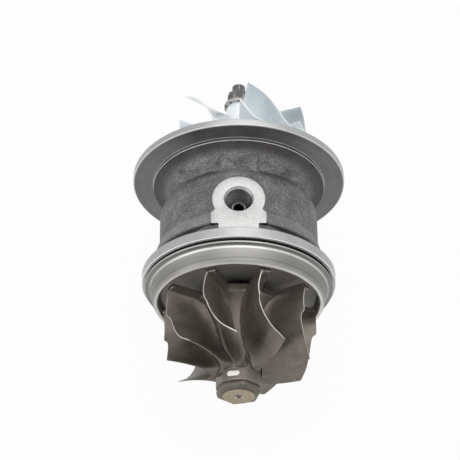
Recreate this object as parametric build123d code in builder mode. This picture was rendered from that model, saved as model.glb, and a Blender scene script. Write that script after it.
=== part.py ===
"""Turbocharger cartridge: the bearing housing with its rotor, as a bare centre section.

The shaft lies along Y. The turbine wheel is at -Y and the compressor wheel at +Y.
+Z points up through the oil inlet, and the drain flange faces -Z.
The origin is on the shaft axis, in the front face of the housing's turbine-end ring.
All sizes are in millimetres. A turned outline is a list of (radius, y) points.
"""
from build123d import *
import os
from math import cos, radians, sin, tan

os.makedirs("parts", exist_ok=True)

# Turbine-end ring of the bearing housing
ring_radius = 47.7
ring_width = 5.2
ring_edge = 0.25
ring_face_width = 0.6

# Heat shield seat in front of the ring
seat_height = 0.6
seat_outer_radius = 45.2
seat_inner_radius = 42.0
seat_gap_depth = 1.8
front_recess_depth = 2.0
seal_boss_draft = 1.0

# Barrel, neck and compressor-side disc, all as cast apart from the disc's rim
clamp_groove_radius = 37.5
clamp_groove_width = 6.5
clamp_groove_draft = 1.5
clamp_groove_corner = 1.0
band_radius = 41.9
band_width = 7.5
band_corner = 0.6
band_foot = 0.5
barrel_radius = 39.4
barrel_end = 43.0
shoulder_radius = 4.0
shoulder_sweep = 80.0
neck_radius = 34.6
neck_start = 0.9
web_face = 57.2
web_fillet = 5.0
web_radius = 43.7
web_edge = 0.4
machined_step = 2.0
disc_radius = 54.0
disc_rim_width = 3.9
disc_edge = 0.5

# Oil inlet pad on top of the barrel
pad_height = 42.0
inlet_y = 24.5
pad_radius = 12.75
pad_neck_half_width = 11.5
pad_shoulder_half_width = 13.2
pad_shoulder_back = 16.9
pad_shoulder_front = 10.7
pad_neck_taper = 1.5
pad_tongue_half_width = 9.6
pad_skirt_drop = 1.0
pad_depth = 12.0
pad_skirt_angle = 28.0
ridge_half_width = 9.0
ridge_top_height = 38.5
ridge_web_height = 35.5
ridge_foot_width = 4.0
inlet_tap_radius = 6.25
inlet_mouth_radius = 7.0
inlet_mouth_chamfer = 0.9
inlet_tap_depth = 12.0
inlet_point = 1.5
feed_radius = 3.2
feed_chamfer = 0.8
gallery_radius = 2.0
gallery_height = 20.0
gallery_point = 0.8
bush_feed_radius = 1.4
cut_through = 1.0

# Oil drain flange underneath
drain_y = 28.5
drain_radius = 11.0
drain_flange_radius = 16.0
drain_flange_thickness = 8.0
drain_neck_radius = 15.0
drain_bolt_spacing = 44.0
drain_ear_radius = 8.0
drain_bolt_radius = 3.4
drain_bolt_depth = 7.0
drain_bore_top = 26.0
drain_neck_fillet = 2.0

# Oil cavity under the bearings, and the slots that drain into it
cavity_wall = 5.0
cavity_end_wall = 5.0
cavity_thrust_wall = 3.0
cavity_corner = 4.0
cavity_floor = 3.0
thrust_slot_width = 20.0
thrust_slot_height = 6.0
thrust_slot_drop = 3.4
seal_slot_width = 14.0
seal_slot_height = 5.0
centre_slot_length = 8.0
centre_slot_width = 6.0

# Shaft and its bearings
journal_radius = 5.5
bush_wall = 3.0
bush_length = 10.0
bush_edge = 0.4
bush_hole_radius = 1.1
bush_hole_count = 6
journal_clearance = 0.05
bore_clearance = 0.08
turbine_bush_y = 13.0
compressor_bush_y = 36.2
bush_end_play = 0.2
bearing_tube_wall = 4.0
waist_radius = 4.9
waist_taper = 1.0
waist_margin = 2.0
journal_fillet = 1.0

# Snap rings beside the bushes
snap_ring_thickness = 1.0
snap_ring_depth = 0.7
snap_ring_reach = 0.9
snap_ring_gap = 60.0
groove_clearance = 0.1

# Turbine-end seal
seal_bore_radius = 9.4
seal_boss_radius = 13.6
seal_boss_reach = 3.0
hub_clearance = 0.3
hub_end = 5.6
piston_ring_thickness = 1.5
piston_ring_depth = 1.3
piston_ring_gap = 2.0
ring_clearance = 0.05
piston_ring_y = 0.4
hub_edge = 0.5
weld_neck = 0.6

# Thrust parts, in order along the shaft
thrust_face = 49.9
thrust_ring_radius = 9.0
thrust_ring_thickness = 2.2
thrust_plate_thickness = 3.5
thrust_plate_radius = 20.0
thrust_pad_relief = 0.3
thrust_pad_count = 4
thrust_groove_width = 1.6
thrust_notch_width = 13.0
thrust_notch_level = 16.0
thrust_play = 0.08
thrust_bore_radius = 6.2
collar_radius = 9.0
collar_thickness = 2.0
spacer_radius = 6.0
stub_radius = 4.0
thrust_screw_count = 3
thrust_screw_circle = 14.5
thrust_screw_start = 90.0
thrust_screw_radius = 2.0
thrust_screw_head_radius = 3.8
thrust_screw_depth = 6.0
thrust_socket_radius = 1.3
thrust_socket_depth = 1.5
screw_clearance = 0.05
screw_end_gap = 1.0
screw_head_sink = 0.1
countersink_angle = 90.0

# Oil deflector, seal plate and its rings
thrust_recess_radius = 21.5
deflector_thickness = 0.8
deflector_radius = 20.8
deflector_bore_radius = 10.5
deflector_tongue_width = 9.0
deflector_tongue_length = 7.0
deflector_tongue_level = 17.0
deflector_window_gap = 0.6
deflector_seat_gap = 0.1
seal_plate_radius = 27.4
seal_plate_thickness = 4.6
seal_plate_fit = 0.1
seal_plate_edge = 0.4
seal_plate_hub_radius = 16.0
seal_plate_hub_draft = 2.0
seal_plate_hub_sink = 0.2
seal_plate_rim_lip = 0.9
o_ring_radius = 0.9
o_ring_groove_depth = 1.44
o_ring_fit = 0.02
o_ring_corner = 0.6
seal_ring_thickness = 1.3
seal_ring_depth = 1.2
seal_ring_reach = 2.6
seal_ring_gap = 34.0
sleeve_radius = 8.2
sleeve_flange_radius = 9.6
sleeve_flange_thickness = 1.4
sleeve_flange_draft = 0.4
sleeve_flange_play = 0.8
sleeve_ring_place = 2.6
wheel_back_clearance = 0.9

# Heat shield, a pressed sheet dish
shield_radius = 46.3
shield_sheet = 1.0
shield_wall_radius = 44.2
shield_wall_step = 1.4
shield_lip_radius = 38.4
shield_lip_width = 3.0
shield_lip_draft = 0.5
shield_lip_reach = 8.9
shield_lip_fillet = 1.3
shield_floor_reach = 4.9
shield_hole_radius = 14.6

# Turbine wheel, cast
turbine_blade_count = 9
turbine_first_blade = 20.0
turbine_radius = 37.8
turbine_back = 9.8
turbine_leading_start = 11.7
turbine_leading_end = 24.8
turbine_exducer_radius = 34.3
turbine_exducer_tip = 42.7
turbine_trailing_root = 49.5
turbine_nose_radius = 10.8
turbine_nose_edge = 0.5
turbine_nose_end = 55.8
turbine_boss_radius = 9.4
turbine_boss_sides = 6
turbine_boss_sink = 0.4
turbine_end = 59.6
turbine_end_radius = 8.0
turbine_tip_thickness = 0.9
turbine_root_thickness = 2.6
scallop_radius = 21.8
scallop_half_angle = 11.5
scallop_cut_depth = 5.0
scallop_tip_angle = 16.6
scallop_corner = 2.0
turbine_web_foot = 7.1
turbine_web_margin = 1.5
turbine_rim_inset = 0.2
turbine_root_flare = 1.1
turbine_root_sink = 3.0
weld_face = 4.0
weld_radius = 9.1
weld_spigot = 1.6
weld_blend = 4.0
centre_drill_radius = 1.5
centre_drill_depth = 4.0
balance_cut_radius = 3.5
balance_cut_depth = 0.5
balance_cut_y = 52.3
balance_cut_angles = (-12.5, -60.0)

# How the turbine blade turns round the shaft: (share of its length, degrees)
turbine_wrap = [(0.0, 0.0), (0.09, 0.0), (0.2, -2.8), (0.315, -4.4), (0.427, -4.0)]
turbine_wrap += [(0.54, 0.2), (0.65, 8.0), (0.765, 19.0), (0.875, 28.0), (1.0, 36.0)]

# The turbine blades' outer edge: (added to the exducer radius, distance past the leading edge)
turbine_shroud_curve = [(0.9, 2.2), (0.1, 8.0)]

# The turbine hub between its rim and its nose: (radius, distance along the shaft)
turbine_hub_curve = [(30.0, 12.6), (22.0, 14.1), (17.2, 18.8), (13.4, 29.0), (11.9, 41.5)]

# Compressor wheel, milled
compressor_blade_count = 6
compressor_first_blade = 8.0
compressor_radius = 44.0
compressor_rim = 1.1
compressor_exducer_height = 5.2
compressor_inducer_radius = 34.6
compressor_inducer_y = 100.4
compressor_splitter_setback = 14.4
compressor_nose_radius = 6.4
compressor_nose_length = 8.1
compressor_tip_thickness = 0.8
compressor_root_thickness = 1.9
compressor_bore_clearance = 0.02
compressor_root_sink = 2.0

# How a compressor blade turns: (share of its height, degrees), from the inducer down
compressor_wrap = [(1.03, -3.0), (0.907, 9.0), (0.769, 18.0), (0.632, 24.2), (0.495, 28.4)]
compressor_wrap += [(0.357, 31.8), (0.22, 36.0), (0.082, 42.0), (-0.014, 47.0)]

# The compressor hub between its rim and its nose: (radius, share of the hub's height)
compressor_hub_curve = [(30.0, 0.072), (18.0, 0.213), (11.0, 0.45), (8.2, 0.697)]

# The compressor blades' outer edge: (added to the inducer radius, share of their height)
compressor_shroud_curve = [(1.4, 0.615), (4.2, 0.368)]

# Shaft nut and the thread it runs on
thread_radius = 3.5
thread_clearance = 0.05
nut_flange_radius = 7.7
nut_flange_thickness = 3.0
nut_flange_edge = 0.3
nut_flange_draft = 0.8
nut_radius = 5.9
nut_height = 9.0
nut_points = 12
nut_counterbore = 1.7
thread_run_out = 0.6
thread_past_nut = 5.3
shaft_chamfer = 0.6

# Places that follow from the sizes above
band_start = ring_width + clamp_groove_width
band_end = band_start + band_width
machined_face = web_face + machined_step
disc_front = machined_face + disc_rim_width
bush_inner_radius = journal_radius + journal_clearance
bush_outer_radius = bush_inner_radius + bush_wall
bore_radius = bush_outer_radius + bore_clearance
tube_radius = bore_radius + bearing_tube_wall
hub_radius = seal_bore_radius - hub_clearance
thrust_plate_back = thrust_face + thrust_plate_thickness
thrust_ring_back = thrust_face - thrust_play
thrust_ring_front = thrust_ring_back - thrust_ring_thickness
collar_front = thrust_plate_back + thrust_play
collar_back = collar_front + collar_thickness
seal_plate_seat = (
    disc_front - seal_plate_thickness - seal_ring_thickness - 2 * groove_clearance - seal_plate_rim_lip
)
seal_plate_face = seal_plate_seat + seal_plate_thickness
seal_bore_large = seal_plate_radius + seal_plate_fit
seal_groove_radius = seal_plate_radius + seal_ring_depth
wheel_back = disc_front + wheel_back_clearance
shaft_hub_front = -weld_face
outlet_level = -disc_radius
web_middle = (turbine_back + turbine_leading_start) / 2
web_radius_outer = turbine_radius - turbine_rim_inset
compressor_nose_y = compressor_inducer_y + compressor_nose_length
compressor_splitter_y = compressor_inducer_y - compressor_splitter_setback
nut_end = compressor_nose_y + nut_height
shaft_end = nut_end + thread_past_nut


def section(*points):
    """A closed half section, from (radius, y) points."""
    with BuildSketch(Plane.XY) as half:
        with BuildLine():
            Polyline(*points, close=True)
        make_face()
    return half.sketch


def band(inner, outer, start, end):
    """The half section of a plain ring."""
    return section((inner, start), (outer, start), (outer, end), (inner, end))


def gap_wedge(half_angle, reach, start, end):
    """A wedge round the -X direction, which opens a split ring."""
    with BuildSketch(Plane.XZ.offset(-end)) as wedge:
        with BuildLine():
            corner = (-reach * cos(radians(half_angle)), reach * sin(radians(half_angle)))
            Polyline((0, 0), corner, (-reach, 0), (corner[0], -corner[1]), close=True)
        make_face()
    return extrude(wedge.sketch, amount=end - start, mode=Mode.PRIVATE)


# Bearing housing: the outer casting
with BuildPart() as bearing_housing:
    with BuildSketch(Plane.XY):
        with BuildLine():
            Polyline(
                (0, disc_front),
                (0, -seal_boss_reach),
                (seal_boss_radius, -seal_boss_reach),
                (seal_boss_radius + seal_boss_draft, front_recess_depth),
                (seat_inner_radius, front_recess_depth),
                (seat_inner_radius, -seat_height),
                (seat_outer_radius, -seat_height),
                (seat_outer_radius, seat_gap_depth),
                (ring_radius - ring_face_width, seat_gap_depth),
                (ring_radius - ring_face_width, 0),
                (ring_radius - ring_edge, 0),
                (ring_radius, ring_edge),
                (ring_radius, ring_width - ring_edge),
                (ring_radius - 2 * ring_edge, ring_width),
                (clamp_groove_radius + clamp_groove_draft, ring_width + web_edge),
                (clamp_groove_radius, ring_width + clamp_groove_draft + web_edge),
                (clamp_groove_radius, band_start - clamp_groove_corner),
                (clamp_groove_radius + clamp_groove_corner, band_start),
                (band_radius - band_corner, band_start),
                (band_radius, band_start + band_corner),
                (barrel_radius + band_foot, band_end),
                (barrel_radius, band_end + band_corner),
                (barrel_radius, barrel_end - shoulder_radius),
            )
            shoulder = CenterArc(
                (barrel_radius - shoulder_radius, barrel_end - shoulder_radius),
                shoulder_radius,
                0,
                shoulder_sweep,
            )
            Line(shoulder @ 1, (neck_radius, barrel_end + neck_start))
            Line((neck_radius, barrel_end + neck_start), (neck_radius, web_face - web_fillet))
            fillet_arc = CenterArc(
                (neck_radius + web_fillet, web_face - web_fillet), web_fillet, 180, -90
            )
            Polyline(
                fillet_arc @ 1,
                (web_radius - web_edge, web_face),
                (web_radius, web_face + web_edge),
                (web_radius, machined_face),
                (disc_radius - disc_edge, machined_face),
                (disc_radius, machined_face + disc_edge),
                (disc_radius, disc_front - disc_edge),
                (disc_radius - disc_edge, disc_front),
                (0, disc_front),
            )
        make_face()
    revolve(axis=Axis.Y)

    # Oil inlet pad: the machined keyhole face, with a round cast skirt under it
    with BuildSketch(Plane.XY.offset(pad_height)):
        with Locations((0, inlet_y)):
            Circle(pad_radius)
        with BuildLine():
            Polyline(
                (-pad_neck_half_width, inlet_y),
                (-pad_neck_half_width, pad_shoulder_back + pad_neck_taper),
                (-pad_shoulder_half_width, pad_shoulder_back),
                (-pad_shoulder_half_width, pad_shoulder_front),
                (-pad_tongue_half_width, pad_shoulder_front),
                (-pad_tongue_half_width, ring_width / 2),
                (pad_tongue_half_width, ring_width / 2),
                (pad_tongue_half_width, pad_shoulder_front),
                (pad_shoulder_half_width, pad_shoulder_front),
                (pad_shoulder_half_width, pad_shoulder_back),
                (pad_neck_half_width, pad_shoulder_back + pad_neck_taper),
                (pad_neck_half_width, inlet_y),
                close=True,
            )
        make_face()
    extrude(amount=-pad_depth)
    with Locations((0, inlet_y, pad_height - pad_depth)):
        Cone(
            pad_radius + (pad_depth - pad_skirt_drop) * tan(radians(pad_skirt_angle)),
            pad_radius,
            pad_depth - pad_skirt_drop,
            align=(Align.CENTER, Align.CENTER, Align.MIN),
        )

    # Cast ridge that carries the pad over the neck to the web
    ridge_ends = (inlet_y, web_face)
    ridge_faces = []
    for ridge_y, ridge_top in zip(ridge_ends, (ridge_top_height, ridge_web_height)):
        with BuildSketch(Plane.XZ.offset(-ridge_y), mode=Mode.PRIVATE) as ridge_end:
            with BuildLine():
                Polyline(
                    (-ridge_half_width, ridge_top),
                    (ridge_half_width, ridge_top),
                    (ridge_half_width + ridge_foot_width, neck_radius - cavity_wall),
                    (-ridge_half_width - ridge_foot_width, neck_radius - cavity_wall),
                    close=True,
                )
            make_face()
        ridge_faces.append(ridge_end.sketch)
    loft(ridge_faces)

    # Oil drain: a neck from the barrel down to a two-bolt flange
    with BuildSketch(Plane.XY.offset(outlet_level)):
        with Locations((0, drain_y)):
            Circle(drain_neck_radius)
    extrude(amount=disc_radius - drain_bore_top)
    with Locations((0, drain_y, outlet_level + drain_flange_thickness)):
        Cone(
            drain_neck_radius + drain_neck_fillet,
            drain_neck_radius,
            drain_neck_fillet,
            align=(Align.CENTER, Align.CENTER, Align.MIN),
        )
    with BuildSketch(Plane.XY.offset(outlet_level)):
        with Locations((0, drain_y)):
            Circle(drain_flange_radius)
        with Locations((-drain_bolt_spacing / 2, drain_y), (drain_bolt_spacing / 2, drain_y)):
            Circle(drain_ear_radius)
        make_hull()
    extrude(amount=drain_flange_thickness)

    # Seal bore, bearing bore and the stepped recess at the compressor end
    seal_bore_end = hub_end + 2 * hub_edge + bush_edge
    revolve(band(0, seal_bore_radius, -seal_boss_reach, seal_bore_end), axis=Axis.Y, mode=Mode.SUBTRACT)
    revolve(band(0, bore_radius, hub_end, thrust_face), axis=Axis.Y, mode=Mode.SUBTRACT)
    revolve(
        band(0, thrust_ring_radius + cut_through, thrust_ring_front - hub_edge, thrust_face),
        axis=Axis.Y,
        mode=Mode.SUBTRACT,
    )
    revolve(band(0, thrust_recess_radius, thrust_face, seal_plate_seat), axis=Axis.Y, mode=Mode.SUBTRACT)
    revolve(band(0, seal_bore_large, seal_plate_seat, disc_front), axis=Axis.Y, mode=Mode.SUBTRACT)
    revolve(
        band(
            0,
            seal_groove_radius,
            seal_plate_face,
            seal_plate_face + seal_ring_thickness + 2 * groove_clearance,
        ),
        axis=Axis.Y,
        mode=Mode.SUBTRACT,
    )

    # Grooves for the snap rings on both sides of the bushes
    ring_places = [
        turbine_bush_y - bush_end_play - snap_ring_thickness,
        turbine_bush_y + bush_length + bush_end_play,
        compressor_bush_y - bush_end_play - snap_ring_thickness,
    ]
    for place in ring_places:
        revolve(
            band(
                0,
                bore_radius + snap_ring_depth,
                place - groove_clearance,
                place + snap_ring_thickness + groove_clearance,
            ),
            axis=Axis.Y,
            mode=Mode.SUBTRACT,
        )

    # Oil drain cavity round the lower half of the bearing tube, open to the flange
    cavity_radius = neck_radius - cavity_wall
    cavity_start = hub_end + cavity_end_wall
    cavity_end = compressor_bush_y + bush_length - cavity_thrust_wall
    with BuildSketch(Plane.YZ.offset(-cavity_radius)):
        with Locations(((cavity_start + cavity_end) / 2, -cavity_radius / 2)):
            RectangleRounded(cavity_end - cavity_start, cavity_radius, cavity_corner)
    cavity_block = extrude(amount=2 * cavity_radius, mode=Mode.PRIVATE)
    cavity_round = revolve(
        band(tube_radius, cavity_radius, cavity_start, cavity_end), axis=Axis.Y, mode=Mode.PRIVATE
    )
    add(cavity_block & cavity_round, mode=Mode.SUBTRACT)
    with BuildSketch(Plane.XY.offset(outlet_level)):
        with Locations((0, drain_y)):
            Circle(drain_radius)
    extrude(amount=disc_radius - tube_radius - cavity_floor, mode=Mode.SUBTRACT)

    # Oil ways out of the thrust recess, out of the seal bore and out of the bearing bore
    with BuildSketch(Plane.XZ.offset(-cavity_end + cut_through)):
        with Locations((0, -tube_radius - thrust_slot_drop)):
            SlotOverall(thrust_slot_width, thrust_slot_height)
    extrude(amount=-(thrust_face - cavity_end + 2 * cut_through), mode=Mode.SUBTRACT)
    with BuildSketch(Plane.XZ.offset(-hub_end)):
        with Locations((0, -tube_radius + cut_through)):
            SlotOverall(seal_slot_width, seal_slot_height)
    extrude(amount=-(cavity_start - hub_end + cut_through), mode=Mode.SUBTRACT)
    with BuildSketch(Plane.XY.offset(-tube_radius - cut_through)):
        with Locations((0, (turbine_bush_y + bush_length + compressor_bush_y) / 2)):
            SlotOverall(centre_slot_length, centre_slot_width, rotation=90)
    extrude(amount=tube_radius, mode=Mode.SUBTRACT)

    # Oil inlet: tapped hole with a lead chamfer, feed drilling, gallery and bush feeds
    with BuildSketch(Plane.XZ):
        with BuildLine():
            feed_shoulder = pad_height - inlet_tap_depth
            Polyline(
                (0, pad_height + cut_through),
                (inlet_mouth_radius, pad_height + cut_through),
                (inlet_mouth_radius, pad_height),
                (inlet_tap_radius, pad_height - inlet_mouth_chamfer),
                (inlet_tap_radius, feed_shoulder + inlet_point),
                (feed_radius + feed_chamfer, feed_shoulder),
                (feed_radius, feed_shoulder - feed_chamfer),
                (feed_radius, gallery_height - gallery_point),
                (0, gallery_height - 2 * gallery_point),
                close=True,
            )
        make_face()
    inlet_cut = revolve(axis=Axis.Z, mode=Mode.PRIVATE)
    add(inlet_cut.moved(Location((0, inlet_y, 0))), mode=Mode.SUBTRACT)
    bush_feed_places = (turbine_bush_y + bush_length / 2, compressor_bush_y + bush_length / 2)
    with BuildSketch(Plane.XZ.offset(-bush_feed_places[0] + gallery_radius)):
        with Locations((0, gallery_height)):
            Circle(gallery_radius)
    extrude(amount=-(thrust_face - bush_feed_places[0] + gallery_radius + cut_through), mode=Mode.SUBTRACT)
    for place in bush_feed_places:
        with BuildSketch(Plane.XY.offset(gallery_height)):
            with Locations((0, place)):
                Circle(bush_feed_radius)
        extrude(amount=-(gallery_height - bore_radius + 2 * cut_through), mode=Mode.SUBTRACT)

    # Tapped holes for the drain flange and for the thrust bearing
    with BuildSketch(Plane.XY.offset(outlet_level)):
        with Locations((-drain_bolt_spacing / 2, drain_y), (drain_bolt_spacing / 2, drain_y)):
            Circle(drain_bolt_radius)
    extrude(amount=drain_bolt_depth, mode=Mode.SUBTRACT)
    with BuildSketch(Plane.XZ.offset(-thrust_face + thrust_screw_depth)):
        with PolarLocations(thrust_screw_circle, thrust_screw_count, start_angle=thrust_screw_start):
            Circle(thrust_screw_radius + screw_clearance)
    extrude(amount=-(thrust_screw_depth + cut_through), mode=Mode.SUBTRACT)
bearing_housing.part.label = "bearing_housing"
export_step(bearing_housing.part, "parts/bearing_housing.step")

# Heat shield: one pressed sheet, seated on the land in front of the ring
with BuildPart() as heat_shield:
    with BuildSketch(Plane.XY) as shield_half:
        rim_front = -seat_height - shield_sheet
        with BuildLine():
            Polyline(
                (shield_hole_radius, -shield_floor_reach),
                (shield_lip_radius - shield_lip_draft, -shield_floor_reach),
                (shield_lip_radius, -shield_lip_reach),
                (shield_lip_radius + shield_lip_width, -shield_lip_reach),
                (shield_wall_radius, rim_front - shield_wall_step),
                (shield_wall_radius, rim_front),
                (shield_radius, rim_front),
                (shield_radius, -seat_height),
                (shield_wall_radius - shield_sheet, -seat_height),
                (shield_wall_radius - shield_sheet, rim_front - shield_wall_step),
                (shield_lip_radius + shield_lip_width - shield_sheet / 2, -shield_lip_reach + shield_sheet),
                (shield_lip_radius + shield_sheet / 2, -shield_lip_reach + shield_sheet),
                (shield_lip_radius - shield_lip_draft, -shield_floor_reach + shield_sheet),
                (shield_hole_radius, -shield_floor_reach + shield_sheet),
                close=True,
            )
        make_face()
        crest = [v for v in shield_half.vertices() if v.Y < -shield_lip_reach + shield_sheet / 2]
        fillet(crest, shield_lip_fillet)
    revolve(axis=Axis.Y)
heat_shield.part.label = "heat_shield"
export_step(heat_shield.part, "parts/heat_shield.step")


def blade_station(y, angle, root, tip, root_thickness, tip_thickness):
    """One slice of a blade: a thin radial quadrilateral in a plane across the shaft."""
    radial = (sin(radians(angle)), 0, cos(radians(angle)))
    with BuildSketch(Plane(origin=(0, y, 0), x_dir=radial, z_dir=(0, 1, 0))) as slice_face:
        with BuildLine():
            Polyline(
                (root, -root_thickness / 2),
                (tip, -tip_thickness / 2),
                (tip, tip_thickness / 2),
                (root, root_thickness / 2),
                close=True,
            )
        make_face()
    return slice_face.sketch


# Turbine blade: straight at the inlet, curling round the hub towards the outlet
with BuildPart() as turbine_blade:
    wrap_start = turbine_web_foot
    wrap_length = turbine_trailing_root + 2 * cut_through - wrap_start
    turbine_slices = [
        blade_station(
            -wrap_start - share * wrap_length,
            turbine_first_blade + angle,
            turbine_nose_radius - turbine_root_sink - cut_through,
            turbine_radius + cut_through,
            turbine_root_thickness,
            turbine_tip_thickness,
        )
        for share, angle in turbine_wrap
    ]
    loft(turbine_slices)
    with BuildSketch(Plane.XY):
        with BuildLine():
            Polyline(
                (turbine_nose_radius - turbine_root_sink, -web_middle),
                (turbine_radius, -web_middle),
                (turbine_radius, -turbine_leading_end),
            )
            shroud = Spline(
                (turbine_radius, -turbine_leading_end),
                *[
                    (turbine_exducer_radius + added, -turbine_leading_end - further)
                    for added, further in turbine_shroud_curve
                ],
                (turbine_exducer_radius, -turbine_exducer_tip),
                tangents=((-0.9, -0.5), (0, -1)),
            )
            Polyline(
                shroud @ 1,
                (turbine_nose_radius + turbine_root_flare, -turbine_trailing_root),
                (turbine_nose_radius - turbine_root_sink, -turbine_trailing_root),
                (turbine_nose_radius - turbine_root_sink, -web_middle),
            )
        make_face()
    revolve(axis=Axis.Y, mode=Mode.INTERSECT)

# Turbine wheel: hub with scalloped back web, blades and cast boss
with BuildPart() as turbine_wheel:
    with BuildSketch(Plane.XY):
        with BuildLine():
            Polyline(
                (0, -turbine_end),
                (0, -weld_face),
                (weld_radius, -weld_face),
                (weld_radius, -weld_face - weld_spigot),
                (weld_radius + weld_blend, -turbine_web_foot),
                (scallop_radius - 2 * turbine_web_margin, -turbine_back),
                (web_radius_outer, -turbine_back),
                (web_radius_outer, -turbine_leading_start),
            )
            hub_line = Spline(
                (web_radius_outer, -turbine_leading_start),
                *[(radius, -y) for radius, y in turbine_hub_curve],
                (turbine_nose_radius, -turbine_trailing_root - cut_through),
                tangents=((-1, -0.02), (-0.1, -1)),
            )
            Polyline(
                hub_line @ 1,
                (turbine_nose_radius, -turbine_nose_end + turbine_nose_edge),
                (turbine_nose_radius - turbine_nose_edge, -turbine_nose_end),
                (turbine_end_radius, -turbine_nose_end),
                (turbine_end_radius, -turbine_end),
                (0, -turbine_end),
            )
        make_face()
    revolve(axis=Axis.Y)
    with BuildSketch(Plane.XZ.offset(turbine_nose_end - cut_through)):
        RegularPolygon(turbine_boss_radius, turbine_boss_sides)
        Circle(turbine_nose_radius - turbine_nose_edge, mode=Mode.INTERSECT)
    extrude(amount=turbine_end - turbine_nose_end - turbine_boss_sink)
    scallop_top = turbine_radius + 2 * cut_through
    scallop_face = -turbine_leading_start - scallop_cut_depth
    for index in range(turbine_blade_count):
        middle = turbine_first_blade + (index + 0.5) * 360 / turbine_blade_count
        radial = (sin(radians(middle)), 0, cos(radians(middle)))
        with BuildSketch(Plane(origin=(0, scallop_face, 0), x_dir=radial, z_dir=(0, 1, 0))) as scallop:
            with BuildLine():
                bottom = scallop_half_angle
                top = scallop_tip_angle
                left_foot = (scallop_radius * cos(radians(bottom)), -scallop_radius * sin(radians(bottom)))
                right_foot = (left_foot[0], -left_foot[1])
                left_top = (scallop_top * cos(radians(top)), -scallop_top * sin(radians(top)))
                right_top = (left_top[0], -left_top[1])
                Line(left_top, left_foot)
                ThreePointArc(left_foot, (scallop_radius, 0), right_foot)
                Line(right_foot, right_top)
                Line(right_top, left_top)
            make_face()
            fillet(scallop.vertices().sort_by_distance((0, scallop_face, 0))[:2], scallop_corner)
        extrude(amount=2 * scallop_cut_depth, mode=Mode.SUBTRACT)
    blade_step = 360 / turbine_blade_count
    add([turbine_blade.part.rotate(Axis.Y, index * blade_step) for index in range(turbine_blade_count)])
    with Locations(Plane(origin=(0, -turbine_end, 0), z_dir=(0, -1, 0))):
        CounterSinkHole(centre_drill_radius, 2 * centre_drill_radius, centre_drill_depth)
    cut_height = turbine_nose_radius + balance_cut_radius - balance_cut_depth
    for cut_angle in balance_cut_angles:
        turn = radians(cut_angle)
        cut_centre = (cut_height * sin(turn), -balance_cut_y, cut_height * cos(turn))
        with Locations(Plane(origin=cut_centre, z_dir=(cos(turn), 0, -sin(turn)))):
            Cylinder(balance_cut_radius, turbine_nose_radius, mode=Mode.SUBTRACT)
turbine_wheel.part.label = "turbine_wheel"
export_step(turbine_wheel.part, "parts/turbine_wheel.step")


def compressor_blade(leading_y, offset_angle):
    """A full blade or a splitter: the same curve, cut to start at the given height."""
    blade_height = compressor_inducer_y - wheel_back
    root_radius = stub_radius + compressor_root_sink
    with BuildPart() as blade:
        slices = [
            blade_station(
                wheel_back + share * blade_height,
                compressor_first_blade + angle + offset_angle,
                root_radius - cut_through / 2,
                compressor_radius + cut_through,
                compressor_root_thickness,
                compressor_tip_thickness,
            )
            for share, angle in compressor_wrap
        ]
        loft(slices)
        with BuildSketch(Plane.XY):
            with BuildLine():
                exducer_y = wheel_back + compressor_rim + compressor_exducer_height
                Polyline(
                    (compressor_radius, exducer_y),
                    (compressor_radius, wheel_back + compressor_rim / 2),
                    (root_radius, wheel_back + compressor_rim / 2),
                    (root_radius, compressor_inducer_y),
                    (compressor_inducer_radius, compressor_inducer_y),
                )
                Spline(
                    (compressor_inducer_radius, compressor_inducer_y),
                    *[
                        (compressor_inducer_radius + added, wheel_back + share * blade_height)
                        for added, share in compressor_shroud_curve
                    ],
                    (compressor_radius, exducer_y),
                    tangents=((0, -1), (0.95, -0.3)),
                )
            make_face()
        revolve(axis=Axis.Y, mode=Mode.INTERSECT)
        with BuildSketch(Plane.XZ.offset(-leading_y)):
            Circle(compressor_radius + cut_through)
        extrude(amount=-(compressor_nose_y - leading_y), mode=Mode.SUBTRACT)
    return blade.part


full_blade = compressor_blade(compressor_inducer_y, 0)
splitter_blade = compressor_blade(compressor_splitter_y, 180 / compressor_blade_count)

# Compressor wheel: hub with its back disc, full blades and splitters
with BuildPart() as compressor_wheel:
    hub_height = compressor_nose_y - wheel_back
    with BuildSketch(Plane.XY):
        with BuildLine():
            Polyline(
                (compressor_nose_radius, compressor_nose_y),
                (0, compressor_nose_y),
                (0, wheel_back),
                (compressor_radius, wheel_back),
                (compressor_radius, wheel_back + compressor_rim),
            )
            Spline(
                (compressor_radius, wheel_back + compressor_rim),
                *[(radius, wheel_back + share * hub_height) for radius, share in compressor_hub_curve],
                (compressor_nose_radius, compressor_nose_y),
            )
        make_face()
    revolve(axis=Axis.Y)
    blade_step = 360 / compressor_blade_count
    for blade in (full_blade, splitter_blade):
        add([blade.rotate(Axis.Y, index * blade_step) for index in range(compressor_blade_count)])
    revolve(
        band(
            0,
            stub_radius + compressor_bore_clearance,
            wheel_back - cut_through,
            compressor_nose_y + cut_through,
        ),
        axis=Axis.Y,
        mode=Mode.SUBTRACT,
    )
compressor_wheel.part.label = "compressor_wheel"
export_step(compressor_wheel.part, "parts/compressor_wheel.step")

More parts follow.
